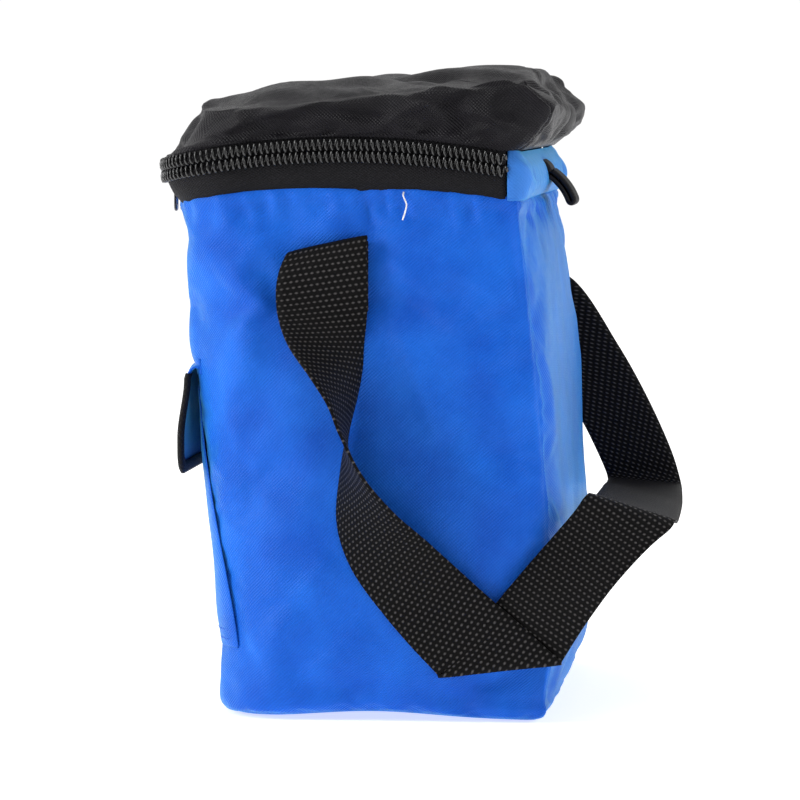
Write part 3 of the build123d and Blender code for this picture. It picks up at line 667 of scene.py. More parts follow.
body = body_grid()
body_u = around(body, SAMPLE_ROW)
body_v = lengths(body[:, SAMPLE_COLUMN])
shell = grid_object("blue_shell", body, body_u, body_v, wrap=True)
p = get_points(shell)
level = p[:, 2]
rear = back_y(level) - p[:, 1]
from_side = np.abs(np.abs(p[:, 0]) - HALF)
on_rear_seam = (from_side < 3) & (np.abs(rear - 2) < 2.5) & (level > 8)
on_patch = (from_side < 1) & (np.abs(p[:, 1] + 29) < 19) & (level > 176) & (level < 207)
on_pocket = (p[:, 1] < front_y(level) + 12) & (level > 28) & (level < 150)
pin = np.zeros(len(p))
pin[on_pocket] = 0.3
pin[level > arch(p[:, 1], RIM) - 1.5] = 1.0
pin[level < 2.0] = 1.0
pin[on_rear_seam] = 0.9
pin[on_patch] = 1.0
settle(shell, pin, pressure=1.6, slack=0.035, reach_out=5.0, reach_in=2.0)
subdivide(shell)

# Folds on the right side panel, as (from, to, width, height, crispness), in (y, z).
SIDE_FOLDS = [
    ((-62, 224), (-56, 208), 3.0, 1.3, 0.3),
    ((-50, 225), (-47, 213), 2.6, 1.1, 0.3),
    ((-38, 226), (-36, 212), 2.8, 1.2, 0.2),
    ((-26, 226), (-22, 214), 2.4, 1.0, 0.2),
    ((-14, 227), (-9, 208), 2.2, -1.5, 0.5),
    ((-6, 212.5), (7, 212.5), 2.2, 1.5, 0.7),
    ((8, 226), (12, 210), 2.6, 1.0, 0.4),
    ((24, 225), (30, 205), 3.4, 0.9, 0.3),
    ((38, 223), (42, 200), 3.6, 1.0, 0.3),
    ((-5, 200), (30, 165), 7.0, 1.6, 0.4),
    ((-4, 186), (20, 120), 8.0, 1.4, 0.5),
    ((-60, 190), (-74, 120), 9.0, 1.6, 0.3),
    ((-50, 168), (-66, 80), 10.0, -1.2, 0.3),
    ((-24, 70), (-60, 28), 9.0, 1.8, 0.4),
    ((-34, 52), (-66, 44), 6.0, -1.4, 0.4),
    ((-10, 40), (-40, 12), 8.0, 1.4, 0.4),
    ((10, 18), (50, 8), 6.0, 1.0, 0.4),
    ((58, 60), (44, 14), 8.0, -1.2, 0.4),
    ((52, 150), (46, 96), 9.0, 1.2, 0.3),
    ((30, 120), (56, 60), 10.0, 1.0, 0.3),
]
p = get_points(shell)
for sign, share in ((1, 1.0), (-1, 0.8)):
    near_side = ease(sign * p[:, 0], 92, 103) * ease(p[:, 2], 3, 12)
    for start, end, width, height, crisp in SIDE_FOLDS:
        p[:, 0] += sign * share * near_side * fold(p[:, 1], p[:, 2], start, end, width, height, crisp)
# gathers right under the zipper tape, all round
arc = np.where(np.abs(p[:, 0]) > 90, p[:, 1], p[:, 0] * np.sign(p[:, 1] + 20.0))
below = arch(p[:, 1], RIM) - p[:, 2]
gather = np.sin(arc / 1.35 + 1.6 * lumps(arc[:, None], 28, 5)) * (0.6 + 0.6 * lumps(arc[:, None], 19, 6))
n = vertex_normals(shell)
p += n * (0.55 * gather * ease(-below, -17, -4) * ease(below, 0.5, 3.5))[:, None]
p += n * (0.5 * lumps(p, 34, 7) * ease(p[:, 2], 6, 16))[:, None]
p += n * (0.9 * ease(-below, -7, -2.5) * ease(below, -0.5, 2.0))[:, None]
# crease of the rear seams, and of the bottom seam
seam = np.abs(p[:, 1] - (back_y(p[:, 2]) - 0.8))
edge = ease(np.abs(p[:, 0]), 99, 104)
p -= n * (1.1 * np.exp(-((seam / 1.6) ** 2)) * edge * ease(p[:, 2], 6, 14))[:, None]
p -= n * (0.8 * np.exp(-(((p[:, 2] - 9.0) / 1.5) ** 2)) * ease(p[:, 1], 10, 30))[:, None]
# the foot of the back is tucked under, the side's lower edge lifts between its corners
p[:, 1] -= TUCK * (1 - ease(p[:, 2], 0, 36)) * ease(p[:, 1], 15, 70)
p[:, 1] -= 4.0 * (1 - ease(p[:, 2], 5, 42)) * ease(-p[:, 1], 30, 70)
p[:, 1] += 2.0 * ease(p[:, 1], 20, 60) * np.sin(math.pi * np.clip((p[:, 2] - 40) / 175, 0, 1))
lifted = np.exp(-(((p[:, 1] + 8) / 36.0) ** 2)) * ease(np.abs(p[:, 0]), 70, 107)
p[:, 2] += 3.2 * lifted * (1 - ease(p[:, 2], 4, 40))
p[:, 2] = np.maximum(p[:, 2], 0.3)
set_points(shell, p)
finish_piece(shell, BLUE, "shell_nylon", "bag", "side_wrap", "back_panel", "base_panel")

# ---------------------------------------------------------------- zipper
ZIP_COUNTS = (40, 12, 90, 40, 60)
ZIP_LENGTH = 490.0


def zip_path(grow, height, step, lip=LIP):
    """The zipper's line round the right side, the front and the left side, and its outward direction."""
    ring = rounded_loop(HALF, front_y(ZIP_Z) - lip, back_y(ZIP_Z), FRONT_R, REAR_R, ZIP_COUNTS)
    ring = ring[ring[:, 1] < ZIP_END]
    run = lengths(ring[:, :2])
    t = np.linspace(0, run[-1], int(ZIP_LENGTH / step))
    x, y, nx, ny = (np.interp(t, run, ring[:, k]) for k in range(4))
    size = np.hypot(nx, ny)
    nx, ny = nx / size, ny / size
    z = arch(y, COIL) + height
    lean = -LEAN / MOUTH_Z * (z - ZIP_Z)
    line = np.stack([x + nx * grow, y + ny * grow + lean, z], 1)
    return line, np.stack([nx, ny, 0 * nx], 1), t


def coil_row(name, height):
    """One row of the coil: a flattened helix of nylon wire."""
    line, out, run = zip_path(1.0 + 1.3, height, step=COIL_PITCH / 10)
    turn = 2 * math.pi * run / COIL_PITCH
    sway = 0.25 * np.sin(turn * 2)
    path = line + out * (1.05 * np.cos(turn))[:, None]
    path[:, 2] += COIL_REACH * np.sin(turn) + sway
    return merged(name, [tube(path, WIRE, sides=8, side_hint=(0.2, 0.1, 1))])


def tape_band(name, low, high, sewn_below):
    """A zipper tape between two heights from the coil's middle; the lower one is tucked behind the rim."""
    rows = []
    for share in np.linspace(0, 1, 13):
        tucked = 1.6 * (1 - float(ease(share, 0, 0.3))) if sewn_below else 0.0
        lip = LIP * float(ease(share, -0.1, 1.0)) if sewn_below else LIP
        line, out, _ = zip_path(0.55 - tucked, 0.0, step=2.0, lip=lip)
        foot = arch(line[:, 1], RIM) - arch(line[:, 1], COIL) + low if sewn_below else low
        line[:, 2] += foot + (high - foot) * share
        belly = 0.5 * math.sin(math.pi * share)
        soft = 0.25 * lumps(line, 30, 11) * math.sin(math.pi * share)
        rows.append(line + out * (belly + soft)[:, None])
    return sheet_object(name, np.array(rows), 0.9)


lower_coil = coil_row("coil_lower", -ROW_MID)
upper_coil = coil_row("coil_upper", ROW_MID)
lower_tape = tape_band("tape_lower", -2.2, -0.1, sewn_below=True)
upper_tape = tape_band("tape_upper", 0.1, ROW_GAP / 2 + ROW + 1.2, sewn_below=False)
finish_piece(lower_coil, COIL_MAT, "zipper_coil", "bag", "zip_coil_lower")
finish_piece(upper_coil, COIL_MAT, "zipper_coil", "lid", "zip_coil_upper")
finish_piece(lower_tape, TAPE, "zipper_tape", "bag", "zip_tape_lower")
finish_piece(upper_tape, TAPE, "zipper_tape", "lid", "zip_tape_upper")


def rounded_block(centre, size, bevel, taper=0.0):
    """Points and faces of a block with rounded edges, narrower towards +X by taper."""
    grid = []
    for x in (-1, 1):
        for y in (-1, 1):
            for z in (-1, 1):
                grid.append((x * size[0] / 2, y * size[1] / 2, z * size[2] / 2 * (1 - taper * (x > 0))))
    faces = [(0, 1, 3, 2), (4, 6, 7, 5), (0, 4, 5, 1), (2, 3, 7, 6), (0, 2, 6, 4), (1, 5, 7, 3)]
    obj = make_object("block", grid, faces)
    mod = obj.modifiers.new("bevel", "BEVEL")
    mod.width, mod.segments = bevel * MM, 3
    apply_modifiers(obj)
    points = get_points(obj) + np.array(centre)
    found = [list(f.vertices) for f in obj.data.polygons]
    bpy.data.objects.remove(obj)
    return points, found


def make_slider(turn, word):
    """Two plates joined by a divider at the nose, and the bar that the pull hangs from."""
    low, high = cad_box(f"slider_{word}")
    mid = (low + high) / 2
    parts = []
    tail = 0.22  # how much narrower each plate is at its tail
    for y, thick in ((low[1] + 2.95, 0.95), (high[1] - 0.5, 0.9)):
        points, faces = rounded_block((0, 0, 0), (12.6, thick, 8.8), 0.42, tail)
        points[:, 0] *= turn
        points[:, 2] *= 1 - 0.16 * np.exp(-((points[:, 0] * turn + 6.3) / 2.0) ** 2)
        faces = faces if turn > 0 else [f[::-1] for f in faces]
        parts.append((points + (mid[0], y, mid[2]), faces))
    nose = mid[0] - turn * 5.0
    divider = (2.6, high[1] - low[1] - 3.2, 0.5)
    parts.append(rounded_block((nose, (low[1] + high[1]) / 2 + 1.2, mid[2]), divider, 0.12))
    bar = np.array([[mid[0] - 5.6 + 11.2 * t, low[1] + 0.8, mid[2]] for t in np.linspace(0, 1, 9)])
    parts.append(tube(bar, 0.78, sides=12))
    steps = np.linspace(0, 1, 7)
    for x in (-5.6, 5.6):
        post = [(mid[0] + x, low[1] + 0.75 + 1.9 * t, mid[2] + 0.3 * math.sin(math.pi * t)) for t in steps]
        parts.append(tube(post, 0.8 + 0.25 * steps, sides=12))
    obj = merged(f"slider_body_{word}", parts)
    finish_piece(obj, METAL, "slider_metal", f"{word}_slider", f"slider_{word}")


def make_pull(word):
    """A waisted flat pull with rounded foot, pressed face and an eye."""
    low, high = cad_box(f"pull_{word}")
    cx = (low[0] + high[0]) / 2
    top, foot, cy = high[2], low[2], (low[1] + high[1]) / 2
    axis_z = top - 2.15
    parts = []
    angles = np.linspace(0, 2 * math.pi, 25)
    for x in (-1.9, 0.0, 1.9):
        eye = np.stack([0 * angles + cx + x, cy + 1.5 * np.cos(angles), axis_z + 1.5 * np.sin(angles)], 1)
        squash = 1.9 if x == 0 else 1.4
        parts.append(tube(eye, 0.5, sides=8, squash=squash, side_hint=(1, 0, 0), capped=False))
    rows = []
    for z in np.linspace(axis_z - 1.6, foot + 0.1, 27):
        share = (axis_z - z) / (axis_z - foot)
        width = 3.3 - 0.9 * math.exp(-((share - 0.28) / 0.16) ** 2)
        if z < foot + 3.0:
            width *= math.sqrt(max(1 - ((foot + 3.0 - z) / 3.0) ** 2, 0.02))
        rows.append([(cx + width * s, cy, z) for s in (-1, -0.72, -0.35, 0, 0.35, 0.72, 1)])
    plate = sheet_object("plate", np.array(rows), 1.2)
    p = get_points(plate)
    inner = (np.abs(p[:, 0] - cx) < 2.0) & (p[:, 2] < axis_z - 9) & (p[:, 2] > foot + 3)
    p[:, 1] += np.where(inner, -0.3 * np.sign(p[:, 1] - cy), 0)
    parts.append((p, [list(f.vertices) for f in plate.data.polygons]))
    bpy.data.objects.remove(plate)
    obj = merged(f"pull_tab_{word}", parts)
    mod = obj.modifiers.new("smooth", "SUBSURF")
    mod.levels = mod.render_levels = 1
    apply_modifiers(obj)
    finish_piece(obj, METAL, "slider_metal", f"{word}_pull", f"pull_{word}")


for turn, word in ((-1.0, "left"), (1.0, "right")):
    make_slider(turn, word)
    make_pull(word)

# ---------------------------------------------------------------- lid
LID_COUNTS = (27, 5, 34, 13, 21)
LID_FOOT_Z = ROW_GAP / 2 + ROW + 0.4  # lid's lower edge above the coil's middle
LID_BACK_FOOT = 241.8
LID_TOP_Y = (-97, -86, -70, -45, -20, 5, 34, 55, 66)
LID_TOP_Z = (258, 264.2, 264.6, 265.6, 268.7, 270.9, 272.8, 273.6, 271.5)
LID_FRONT, LID_RAKE = -101.0, 13.4  # the front's foot, and how far its top is set back
LID_BACK, LID_BULGE = 54.2, 15.0
LID_HALF = 109.2
LID_EDGE = 3.5  # height of the rounding between wall and top


def lid_top_z(y):
    return np.interp(y, LID_TOP_Y, LID_TOP_Z)


def over_foot(points):
    """Height over the lid's lower edge."""
    return points[:, 2] - arch(points[:, 1], COIL) - LID_FOOT_Z


def lid_grid():
    """Rows from the lid's lower edge up its side and over the top to its middle line."""
    rows = []
    wall = 15
    for k in range(wall + 1):
        t = k / wall
        front = LID_FRONT + LID_RAKE * t**0.95
        bulge = LID_BULGE * math.sin(math.pi * min(t / 1.12, 1.0) * 0.9) ** 1.1
        back = LID_BACK + bulge * (1 - 0.35 * ease(t, 0.7, 1))
        half = LID_HALF - 2.0 * t * t
        ring = rounded_loop(half, front, back, FRONT_R + 2 - 3 * t, 7.0 - 3 * t, LID_COUNTS)
        low = arch(ring[:, 1], COIL) + LID_FOOT_Z
        low = np.where(ring[:, 1] > 49, LID_BACK_FOOT, low)
        high = lid_top_z(ring[:, 1]) - LID_EDGE
        rows.append(np.column_stack([ring[:, :2], low + (high - low) * t]))
    for inset in (1.2, 3.2, 6, 10, 15, 21, 28, 36, 45, 54, 63, 71, 76.5):
        corners = max(FRONT_R - 1 - inset, 0.6), max(4 - inset, 0.5)
        ring = rounded_loop(half - inset, front + inset, back - inset * 0.98, *corners, LID_COUNTS)
        edge = LID_EDGE * (1 - math.sqrt(max(1 - (1 - min(inset, 6) / 6) ** 2, 0)))
        z = lid_top_z(ring[:, 1]) - edge + 1.2 * ease(inset, 3, 60)
        rows.append(np.column_stack([ring[:, :2], z]))
    return np.array(rows)


lid_rows = lid_grid()
turned_in = []
for inset, drop in ((5.2, -0.2), (3.4, -0.5), (1.6, -0.4)):
    ring = lid_rows[0].copy()
    middle = np.array([0.0, -20.0])
    away_from = ring[:, :2] - middle
    ring[:, :2] -= away_from * inset / np.linalg.norm(away_from, axis=1, keepdims=True)
    ring[:, 2] -= drop
    turned_in.append(ring)
lid_rows = np.concatenate([np.array(turned_in), lid_rows])
lid_u = around(lid_rows, 8)
lid_v = lengths(lid_rows[:, SAMPLE_COLUMN])
lid = grid_object("lid_shell", lid_rows, lid_u, lid_v, wrap=True)
p = get_points(lid)
pin = np.zeros(len(p))
PINNED_ROWS = 5
pin[: lid_rows.shape[1] * PINNED_ROWS] = 1.0
corner = (np.abs(np.abs(p[:, 0]) - 105.5) < 3.5) & (p[:, 1] > 48)
pin[corner] = np.maximum(pin[corner], 0.8)
settle(lid, pin, pressure=0.9, slack=0.07, reach_out=2.6, reach_in=4.0, bending=0.25)
subdivide(lid)
lay_flat(lid)
# Folds of the slack side wall, in (y, z).
LID_FOLDS = [
    ((-84, 247), (-16, 268), 3.2, 3.0, 0.55),
    ((-52, 262), (34, 276), 4.0, -2.4, 0.3),
    ((-34, 259), (-2, 255), 3.0, -2.2, 0.4),
    ((-2, 255), (34, 269), 3.2, 3.0, 0.5),
    ((-2, 255), (16, 244), 3.0, 2.4, 0.5),
    ((4, 253), (48, 252), 5.5, -3.2, 0.2),
    ((14, 245), (52, 254), 2.6, 2.2, 0.4),
    ((28, 259), (54, 252), 2.4, 1.6, 0.4),
    ((30, 270), (50, 276), 3.0, -1.8, 0.3),
    ((-90, 258), (-70, 262), 3.0, 1.6, 0.4),
    ((-70, 245), (-20, 251), 4.5, -1.8, 0.2),
]
p = get_points(lid)
for sign, share in ((1, 1.0), (-1, 0.75)):
    near_side = ease(sign * p[:, 0], 88, 104) * ease(over_foot(p), 0.5, 4)
    for start, end, width, height, crisp in LID_FOLDS:
        p[:, 0] += sign * share * near_side * 0.8 * fold(p[:, 1], p[:, 2], start, end, width, height, crisp)
n = vertex_normals(lid)
free = ease(over_foot(p), 2, 9)
p += n * (1.3 * lumps(p, 46, 21) * free + 0.5 * lumps(p, 17, 22) * free)[:, None]
back_seam = np.exp(-(((np.abs(p[:, 0]) - 104.5) / 1.3) ** 2)) * ease(p[:, 1], 47, 53)
p -= n * (1.4 * back_seam)[:, None]
top_seam = np.abs(p[:, 2] - (lid_top_z(p[:, 1]) - 3.2))
rim_near = ease(np.abs(p[:, 0]), 96, 103) + ease(-p[:, 1], 80, 86) + ease(p[:, 1], 58, 62)
p -= n * (0.9 * np.exp(-((top_seam / 1.2) ** 2)) * np.clip(rim_near, 0, 1))[:, None]
set_points(lid, p)
LID_NODES = ("lid_top", "lid_band", "lid_back", "lid_foam_top", "lid_foam_band")
finish_piece(lid, BLACK, "lid_nylon", "lid", *LID_NODES)

# the lid's lining, with the same outline, and softly lumped
lining = []
for k in range(8):
    t = k / 7
    back = 48.5 + 5.0 * math.sin(math.pi * t * 0.8)
    ring = rounded_loop(100.6 - t, -92.0 + 12 * t, back, 28, 4, LID_COUNTS)
    low = np.where(ring[:, 1] > 43, 242.3, arch(ring[:, 1], COIL) + LID_FOOT_Z + 0.3)
    lining.append(np.column_stack([ring[:, :2], low + (lid_top_z(ring[:, 1]) - 10.5 - low) * t]))
for inset in (4, 12, 22, 33, 45, 58, 66):
    corners = max(28 - inset, 0.6), max(4 - inset, 0.5)
    ring = rounded_loop(99.6 - inset, -80.0 + inset, 51 - inset, *corners, LID_COUNTS)
    lining.append(np.column_stack([ring[:, :2], lid_top_z(ring[:, 1]) - 9.7 + 0 * ring[:, 0]]))
lining = np.array(lining)
lining[:, :, 2] += 0.5 * lumps(lining, 26, 31) * ease(np.arange(len(lining)), 1, 4)[:, None]
lining_v = lengths(lining[:, SAMPLE_COLUMN])
lid_lining = grid_object("lid_lining", lining, lid_u, lining_v, wrap=True, flip=True)
subdivide(lid_lining)
finish_piece(lid_lining, LINER, "liner", "lid", "lid_liner")

# ---------------------------------------------------------------- liner tub and the binding round its mouth
IN = 6.3  # wall thickness, skin and foam
TUB_FOOT = 7.0
tub = []
for share in (0.08, 0.4, 0.7, 0.9):
    ring = rounded_loop(HALF - IN - 3, front_y(8) + IN + 3, back_y(8) - IN - 3, 20, 4, BODY_COUNTS)
    tub.append(np.column_stack([ring[:, :2] * share, np.full(len(ring), 6.4)]))
for share in np.linspace(0, 1, 34):
    z = TUB_FOOT + 210.0 * share
    ring = wall_loop(z, IN, FRONT_R - IN, 3.0)
    top = arch(ring[:, 1], RIM) - 1.0
    level = TUB_FOOT + (top - TUB_FOOT) * share
    shift = centre_y(level) - centre_y(z)
    tub.append(np.column_stack([ring[:, 0], ring[:, 1] + shift, level]))
tub = np.array(tub)
number = np.arange(len(tub))
soft = 0.5 * lumps(tub, 40, 41) * ease(number, 5, 9)[:, None] * (1 - ease(number, 28, 35))[:, None]
tub[:, :, :2] -= soft[:, :, None] * (tub[:, :, :2] / np.linalg.norm(tub[:, :, :2], axis=2, keepdims=True))
tub[:, :, 1] -= TUCK * (1 - ease(tub[:, :, 2], 0, 36)) * ease(tub[:, :, 1], 15, 64)
tub_piece = grid_object("liner", tub, body_u, lengths(tub[:, SAMPLE_COLUMN]), wrap=True, flip=True)
finish_piece(tub_piece, LINER, "liner", "bag", "liner_tub", "foam_wrap", "foam_back", "foam_base")

rim_rows = []
BINDING_Z = 222  # level that the binding's outline in plan is taken at
RIM_PROFILE = ((7.0, 12.0), (7.1, 8.0), (7.0, 3.0), (6.2, 0.6), (3.8, -0.2), (1.6, 0.2), (0.9, 1.4))
for inset, drop in RIM_PROFILE:
    ring = wall_loop(BINDING_Z, inset, FRONT_R - inset, max(REAR_R - inset, 1))
    z = arch(ring[:, 1], RIM) - 0.6 - drop
    rim_rows.append(np.column_stack([ring[:, 0], ring[:, 1] + centre_y(z) - centre_y(BINDING_Z), z]))
mouth = sheet_object("mouth_tape", np.array(rim_rows)[::-1], 0.7, wrap=True)
finish_piece(mouth, BINDING, "binding_tape", "bag", "mouth_binding")


# ---------------------------------------------------------------- webbing
ACROSS = 13  # points across a ribbon
SELVEDGE = 0.35  # share of its thickness that a ribbon loses at its edges


def ribbon(name, pairs, thick=WEB, step=2.0):
    """Webbing between two selvedges, given as pairs of points, with softly thinner edges."""
    pairs = np.asarray(pairs, float).reshape(len(pairs), 6)
    line = spline(pairs, step)
    left, right = line[:, None, :3], line[:, None, 3:]
    share = np.linspace(0, 1, ACROSS)
    grid = left + (right - left) * share[None, :, None]
    left_run, right_run = lengths(line[:, :3]), lengths(line[:, 3:])
    v = left_run[:, None] + (right_run - left_run)[:, None] * share[None, :]
    width = np.linalg.norm(pairs[0, :3] - pairs[0, 3:])
    obj = sheet_object(name, grid, thick, u=share * width, v=v)
    p = get_points(obj)
    count = len(line) * ACROSS
    n = normals_of(grid).reshape(-1, 3)
    thin = SELVEDGE * thick / 2 * (np.abs(np.linspace(-1, 1, ACROSS)) ** 8)
    thin = np.tile(thin, len(line))[:, None]
    p[:count] -= n * thin
    p[count:] += n * thin
    set_points(obj, p)
    return obj


# The strap's two selvedges, front and rear, from its right end round to its left end: it twists over,
# runs down, folds up again at the foot of the side, passes behind the bag and rises to the left end.
LEG = [
    ((109.9, -43.0, 197.5), (109.9, -10, 205.6)),
    ((111.2, -43.6, 198.6), (111.4, -10, 206.3)),
    ((112.6, -45.0, 196.6), (112.4, -10, 204.6)),
    ((114.6, -47.4, 190), (112.8, -10, 196)),
    ((116.6, -48.2, 181), (113.0, -9.6, 182)),
    ((122.5, -46.2, 171.5), (113.0, -10.2, 171)),
    ((133.0, -40.5, 161), (113.0, -11.4, 161)),
    ((143.5, -31.0, 150), (112.9, -12.2, 150)),
    ((148.5, -22.5, 138), (112.8, -14.5, 138)),
    ((149.6, -17.5, 126), (112.8, -17.5, 126)),
    ((147.6, -8.5, 108), (113.0, -21, 107)),
    ((139.0, 3.5, 92), (113.6, -22.5, 85)),
    ((126.5, 16, 79), (114.0, -16, 65)),
    ((118.0, 29, 66), (114.3, 0.5, 43)),
    ((115.4, 43.5, 52.5), (114.3, 19.4, 22.2)),
    ((115.0, 58, 40), (114.3, 20.0, 21.6)),
    ((114.6, 71, 28.4), (114.2, 20.0, 21.4)),
    ((114.2, 72.2, 27.0), (113.9, 20.2, 20.7)),
    ((113.2, 72.4, 26.6), (113.2, 20.2, 20.4)),
    ((112.3, 72.2, 27.0), (112.5, 20.2, 20.7)),
    ((112.2, 73.0, 28.4), (112.2, 20.6, 22.0)),
    ((114.0, 82.0, 43.0), (112.3, 32, 36)),
    ((118.0, 96.6, 63.0), (112.5, 56, 65)),
    ((116.0, 110.5, 77.8), (112.6, 77.5, 91)),
    ((113.0, 117.8, 84.0), (112.0, 81.2, 96.4)),
    ((109.0, 119.6, 86.6), (109.0, 83.0, 98.0)),
    ((96.0, 119.8, 85.5), (96.0, 83.5, 96.5)),
    ((40.0, 119.0, 82.0), (40.0, 82.5, 91.5)),
    ((-40.0, 117.0, 81.0), (-40.0, 81.5, 88.5)),
    ((-98.0, 114.5, 83.0), (-98.0, 79.8, 85.8)),
    ((-111.5, 113.6, 84.0), (-111.5, 79.3, 86.2)),
    ((-114.2, 112.8, 87.0), (-114.2, 78.6, 88.0)),
    ((-114.3, 109.6, 97.3), (-114.3, 76.4, 93.5)),
    ((-114.3, 98.2, 122.6), (-114.3, 66.3, 113.6)),
    ((-114.3, 83.7, 148.4), (-114.3, 54.0, 131.5)),
    ((-114.3, 62.0, 179.7), (-114.3, 37.0, 146.5)),
    ((-114.3, 39.0, 187.5), (-114.3, 16.0, 152.0)),
    ((-114.3, 0.0, 190.2), (-114.3, -4.0, 152.2)),
    ((-114.2, -46.5, 190.2), (-114.2, -9.5, 152.4)),
    ((-113.2, -47.8, 191.2), (-113.2, -10.2, 152.0)),
    ((-112.2, -47.8, 192.2), (-112.2, -10.0, 153.4)),
    ((-112.2, -48.0, 197.0), (-112.3, -10.0, 178.0)),
    ((-112.4, -48.0, 203.0), (-112.4, -10.0, 203.0)),
    ((-111.2, -48.0, 205.5), (-111.2, -10.0, 205.5)),
    ((-109.9, -48.0, 205.1), (-109.9, -10.0, 205.1)),
]
strap = ribbon("strap_webbing", LEG)
p = get_points(strap)
p[:, 2] += 0.35 * lumps(p, 60, 51)
set_points(strap, p)
finish_piece(strap, WEBBING, "webbing", "strap", "shoulder_strap")

# Each sewn end: levels down it, with how far its front edge is cut away at the slanted top.
PATCH_ROWS = ((204.2, 1.0), (200, 0.9), (194, 0.6), (187, 0.2), (180, 0.0), (175.0, 0.0))
for word, sign in (("right", 1), ("left", -1)):
    x = sign * (HALF + 1.3)
    pairs = [((x, -48 + 6.0 * cut**2, z - 8.5 * cut), (x, -10, z)) for z, cut in PATCH_ROWS]
    pairs.append(((x - sign * 0.5, -47.6, 174.0), (x - sign * 0.5, -10.4, 174.0)))
    patch = ribbon(f"strap_patch_{word}", pairs if sign > 0 else [(b, a) for a, b in pairs])
    finish_piece(patch, WEBBING, "webbing", "bag", f"strap_anchor_{word}")
parts = []
for sign in (1, -1):
    x = sign * (HALF + 2.15)
    box = np.array([(x, -43, 178), (x, -14, 178), (x, -14, 198), (x, -41, 190), (x, -43, 178)], float)
    lines = [box[i : i + 2] for i in range(4)] + [box[[0, 2]], box[[1, 3]]]
    for a, b in lines:
        t = np.linspace(0, 1, 40)[:, None]
        parts += stitches(a + (b - a) * t, 2.6, 0.9, 0.3, lift=(sign, 0, 0))
box_stitches = merged("strap_stitches", parts)
finish_piece(box_stitches, THREAD, "thread", "bag", "strap_stitching")


# ---------------------------------------------------------------- rear tab
TAB_CENTRE, TAB_RADIUS, TAB_HALF = (46.8, 211.0), 24.0, 12.3


def tab_point(radius, degrees):
    angle = math.radians(degrees)
    return TAB_CENTRE[0] + radius * math.cos(angle), TAB_CENTRE[1] + radius * math.sin(angle)


def tab_band(name, line, thick, step):
    return ribbon(name, [((TAB_HALF, y, z), (-TAB_HALF, y, z)) for y, z in line], thick, step)


LAYER = 1.3  # each layer of the folded webbing from the tab's middle
line = [tab_point(TAB_RADIUS - LAYER, a) for a in np.linspace(56, 21, 12)]
fold_y, fold_z = tab_point(TAB_RADIUS, 20)
for a in np.radians(np.linspace(48, 172, 5)):
    line.append((fold_y - LAYER * math.cos(a), fold_z - LAYER * math.sin(a)))
line += [tab_point(TAB_RADIUS + LAYER, a) for a in np.linspace(21, 56, 12)]
tab = tab_band("tab_webbing", line, thick=2.45, step=1.2)
finish_piece(tab, BINDING, "webbing", None, "rear_tab")
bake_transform(tab)
line = [(60.0, 231.6), (59.4, 233.2), (58.2, 234.8), (56.4, 236.0)]
root = tab_band("tab_sewn_root", line, thick=2.6, step=1.0)
finish_piece(root, BINDING, "webbing", "bag", "tab_root")

# ---------------------------------------------------------------- hinge strip
STRIP_FLAT, STRIP_CORNER = 101.5, 5.5  # half width of its straight part, and corner radius
STRIP_END = 110.4  # run from its middle to the zipper's end


def strip_line(run):
    """Plan position and outward direction of the strip at a distance from its middle."""
    flat = min(abs(run), STRIP_FLAT)
    over = abs(run) - flat
    turn = min(over / STRIP_CORNER, math.pi / 2)
    rest = max(over - STRIP_CORNER * math.pi / 2, 0.0)
    x = flat + STRIP_CORNER * math.sin(turn)
    y = 54.4 - STRIP_CORNER * (1 - math.cos(turn)) - rest
    return math.copysign(x, run), y, math.copysign(math.sin(turn), run), math.cos(turn)


# The strip's section, from foot to top, as (share of its length, share of its height, outward).
PROFILE = (
    (0.0, 0.0, 0.4),
    (0.12, 0.10, 3.0),
    (0.42, 0.34, 4.6),
    (0.70, 0.62, 3.6),
    (0.88, 0.85, 0.9),
    (1.0, 1.0, -1.8),
)


def strip_point(share, height, out, run):
    """A point of the gathered strip: pleats all along, fanning out from the zipper's ends."""
    x, y, nx, ny = strip_line(run)
    near = ease(abs(run), 78, STRIP_END)
    low, high = 221.5 - 0.4 * near, 241.2 + 0.8 * near
    z = low + (high - low) * height
    from_end, below = STRIP_END - abs(run) + 1.0, high - z
    fan = math.sin(9.0 * math.atan2(below + 1.0, from_end))
    fan = fan * float(ease(from_end, 1, 5)) * float(ease(-from_end, -34, -10))
    pleat = 0.5 * math.sin(run / 2.1 + 1.5 * math.sin(run / 15.0)) * math.sin(math.pi * min(share, 1.0))
    plump = out * (1 - 0.55 * float(ease(abs(run), 104, STRIP_END)))
    reach = plump + 0.9 * fan * math.sin(math.pi * min(max(share, 0.05), 0.95)) + pleat
    return x + nx * reach, y + ny * reach, z


runs = np.linspace(-STRIP_END, STRIP_END, 191)
band_rows = [[strip_point(*place, run) for run in runs] for place in spline(PROFILE, 0.045)]
band = sheet_object("hinge_band", np.array(band_rows)[:, ::-1], 0.7)
subdivide(band)
# the strip takes the lighter copy of the shell nylon, its paleness painted light
finish_piece(band, BLUE_PAINTED_LIGHTER, "shell_nylon", None, "hinge_strip")
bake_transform(band)

# ---------------------------------------------------------------- front pocket and its flap
def pocket_point(x, z, out):
    """A point out from the front wall, which turns back at its corners."""
    straight = HALF - FRONT_R
    over = max(abs(x) - straight, 0.0)
    a = over / FRONT_R
    radius = FRONT_R + out
    px = min(abs(x), straight) + (radius * math.sin(a) if over > 0 else 0.0)
    py = front_y(z) + FRONT_R - (radius * math.cos(a) if over > 0 else radius)
    return math.copysign(px, x) if x else 0.0, py, z


POCKET_X = 92.0


def pocket_edge(z):
    """How far round the front the pocket reaches, which grows towards its foot."""
    return 81.0 + 20.0 * (1 - float(ease(z, 25, 150)))


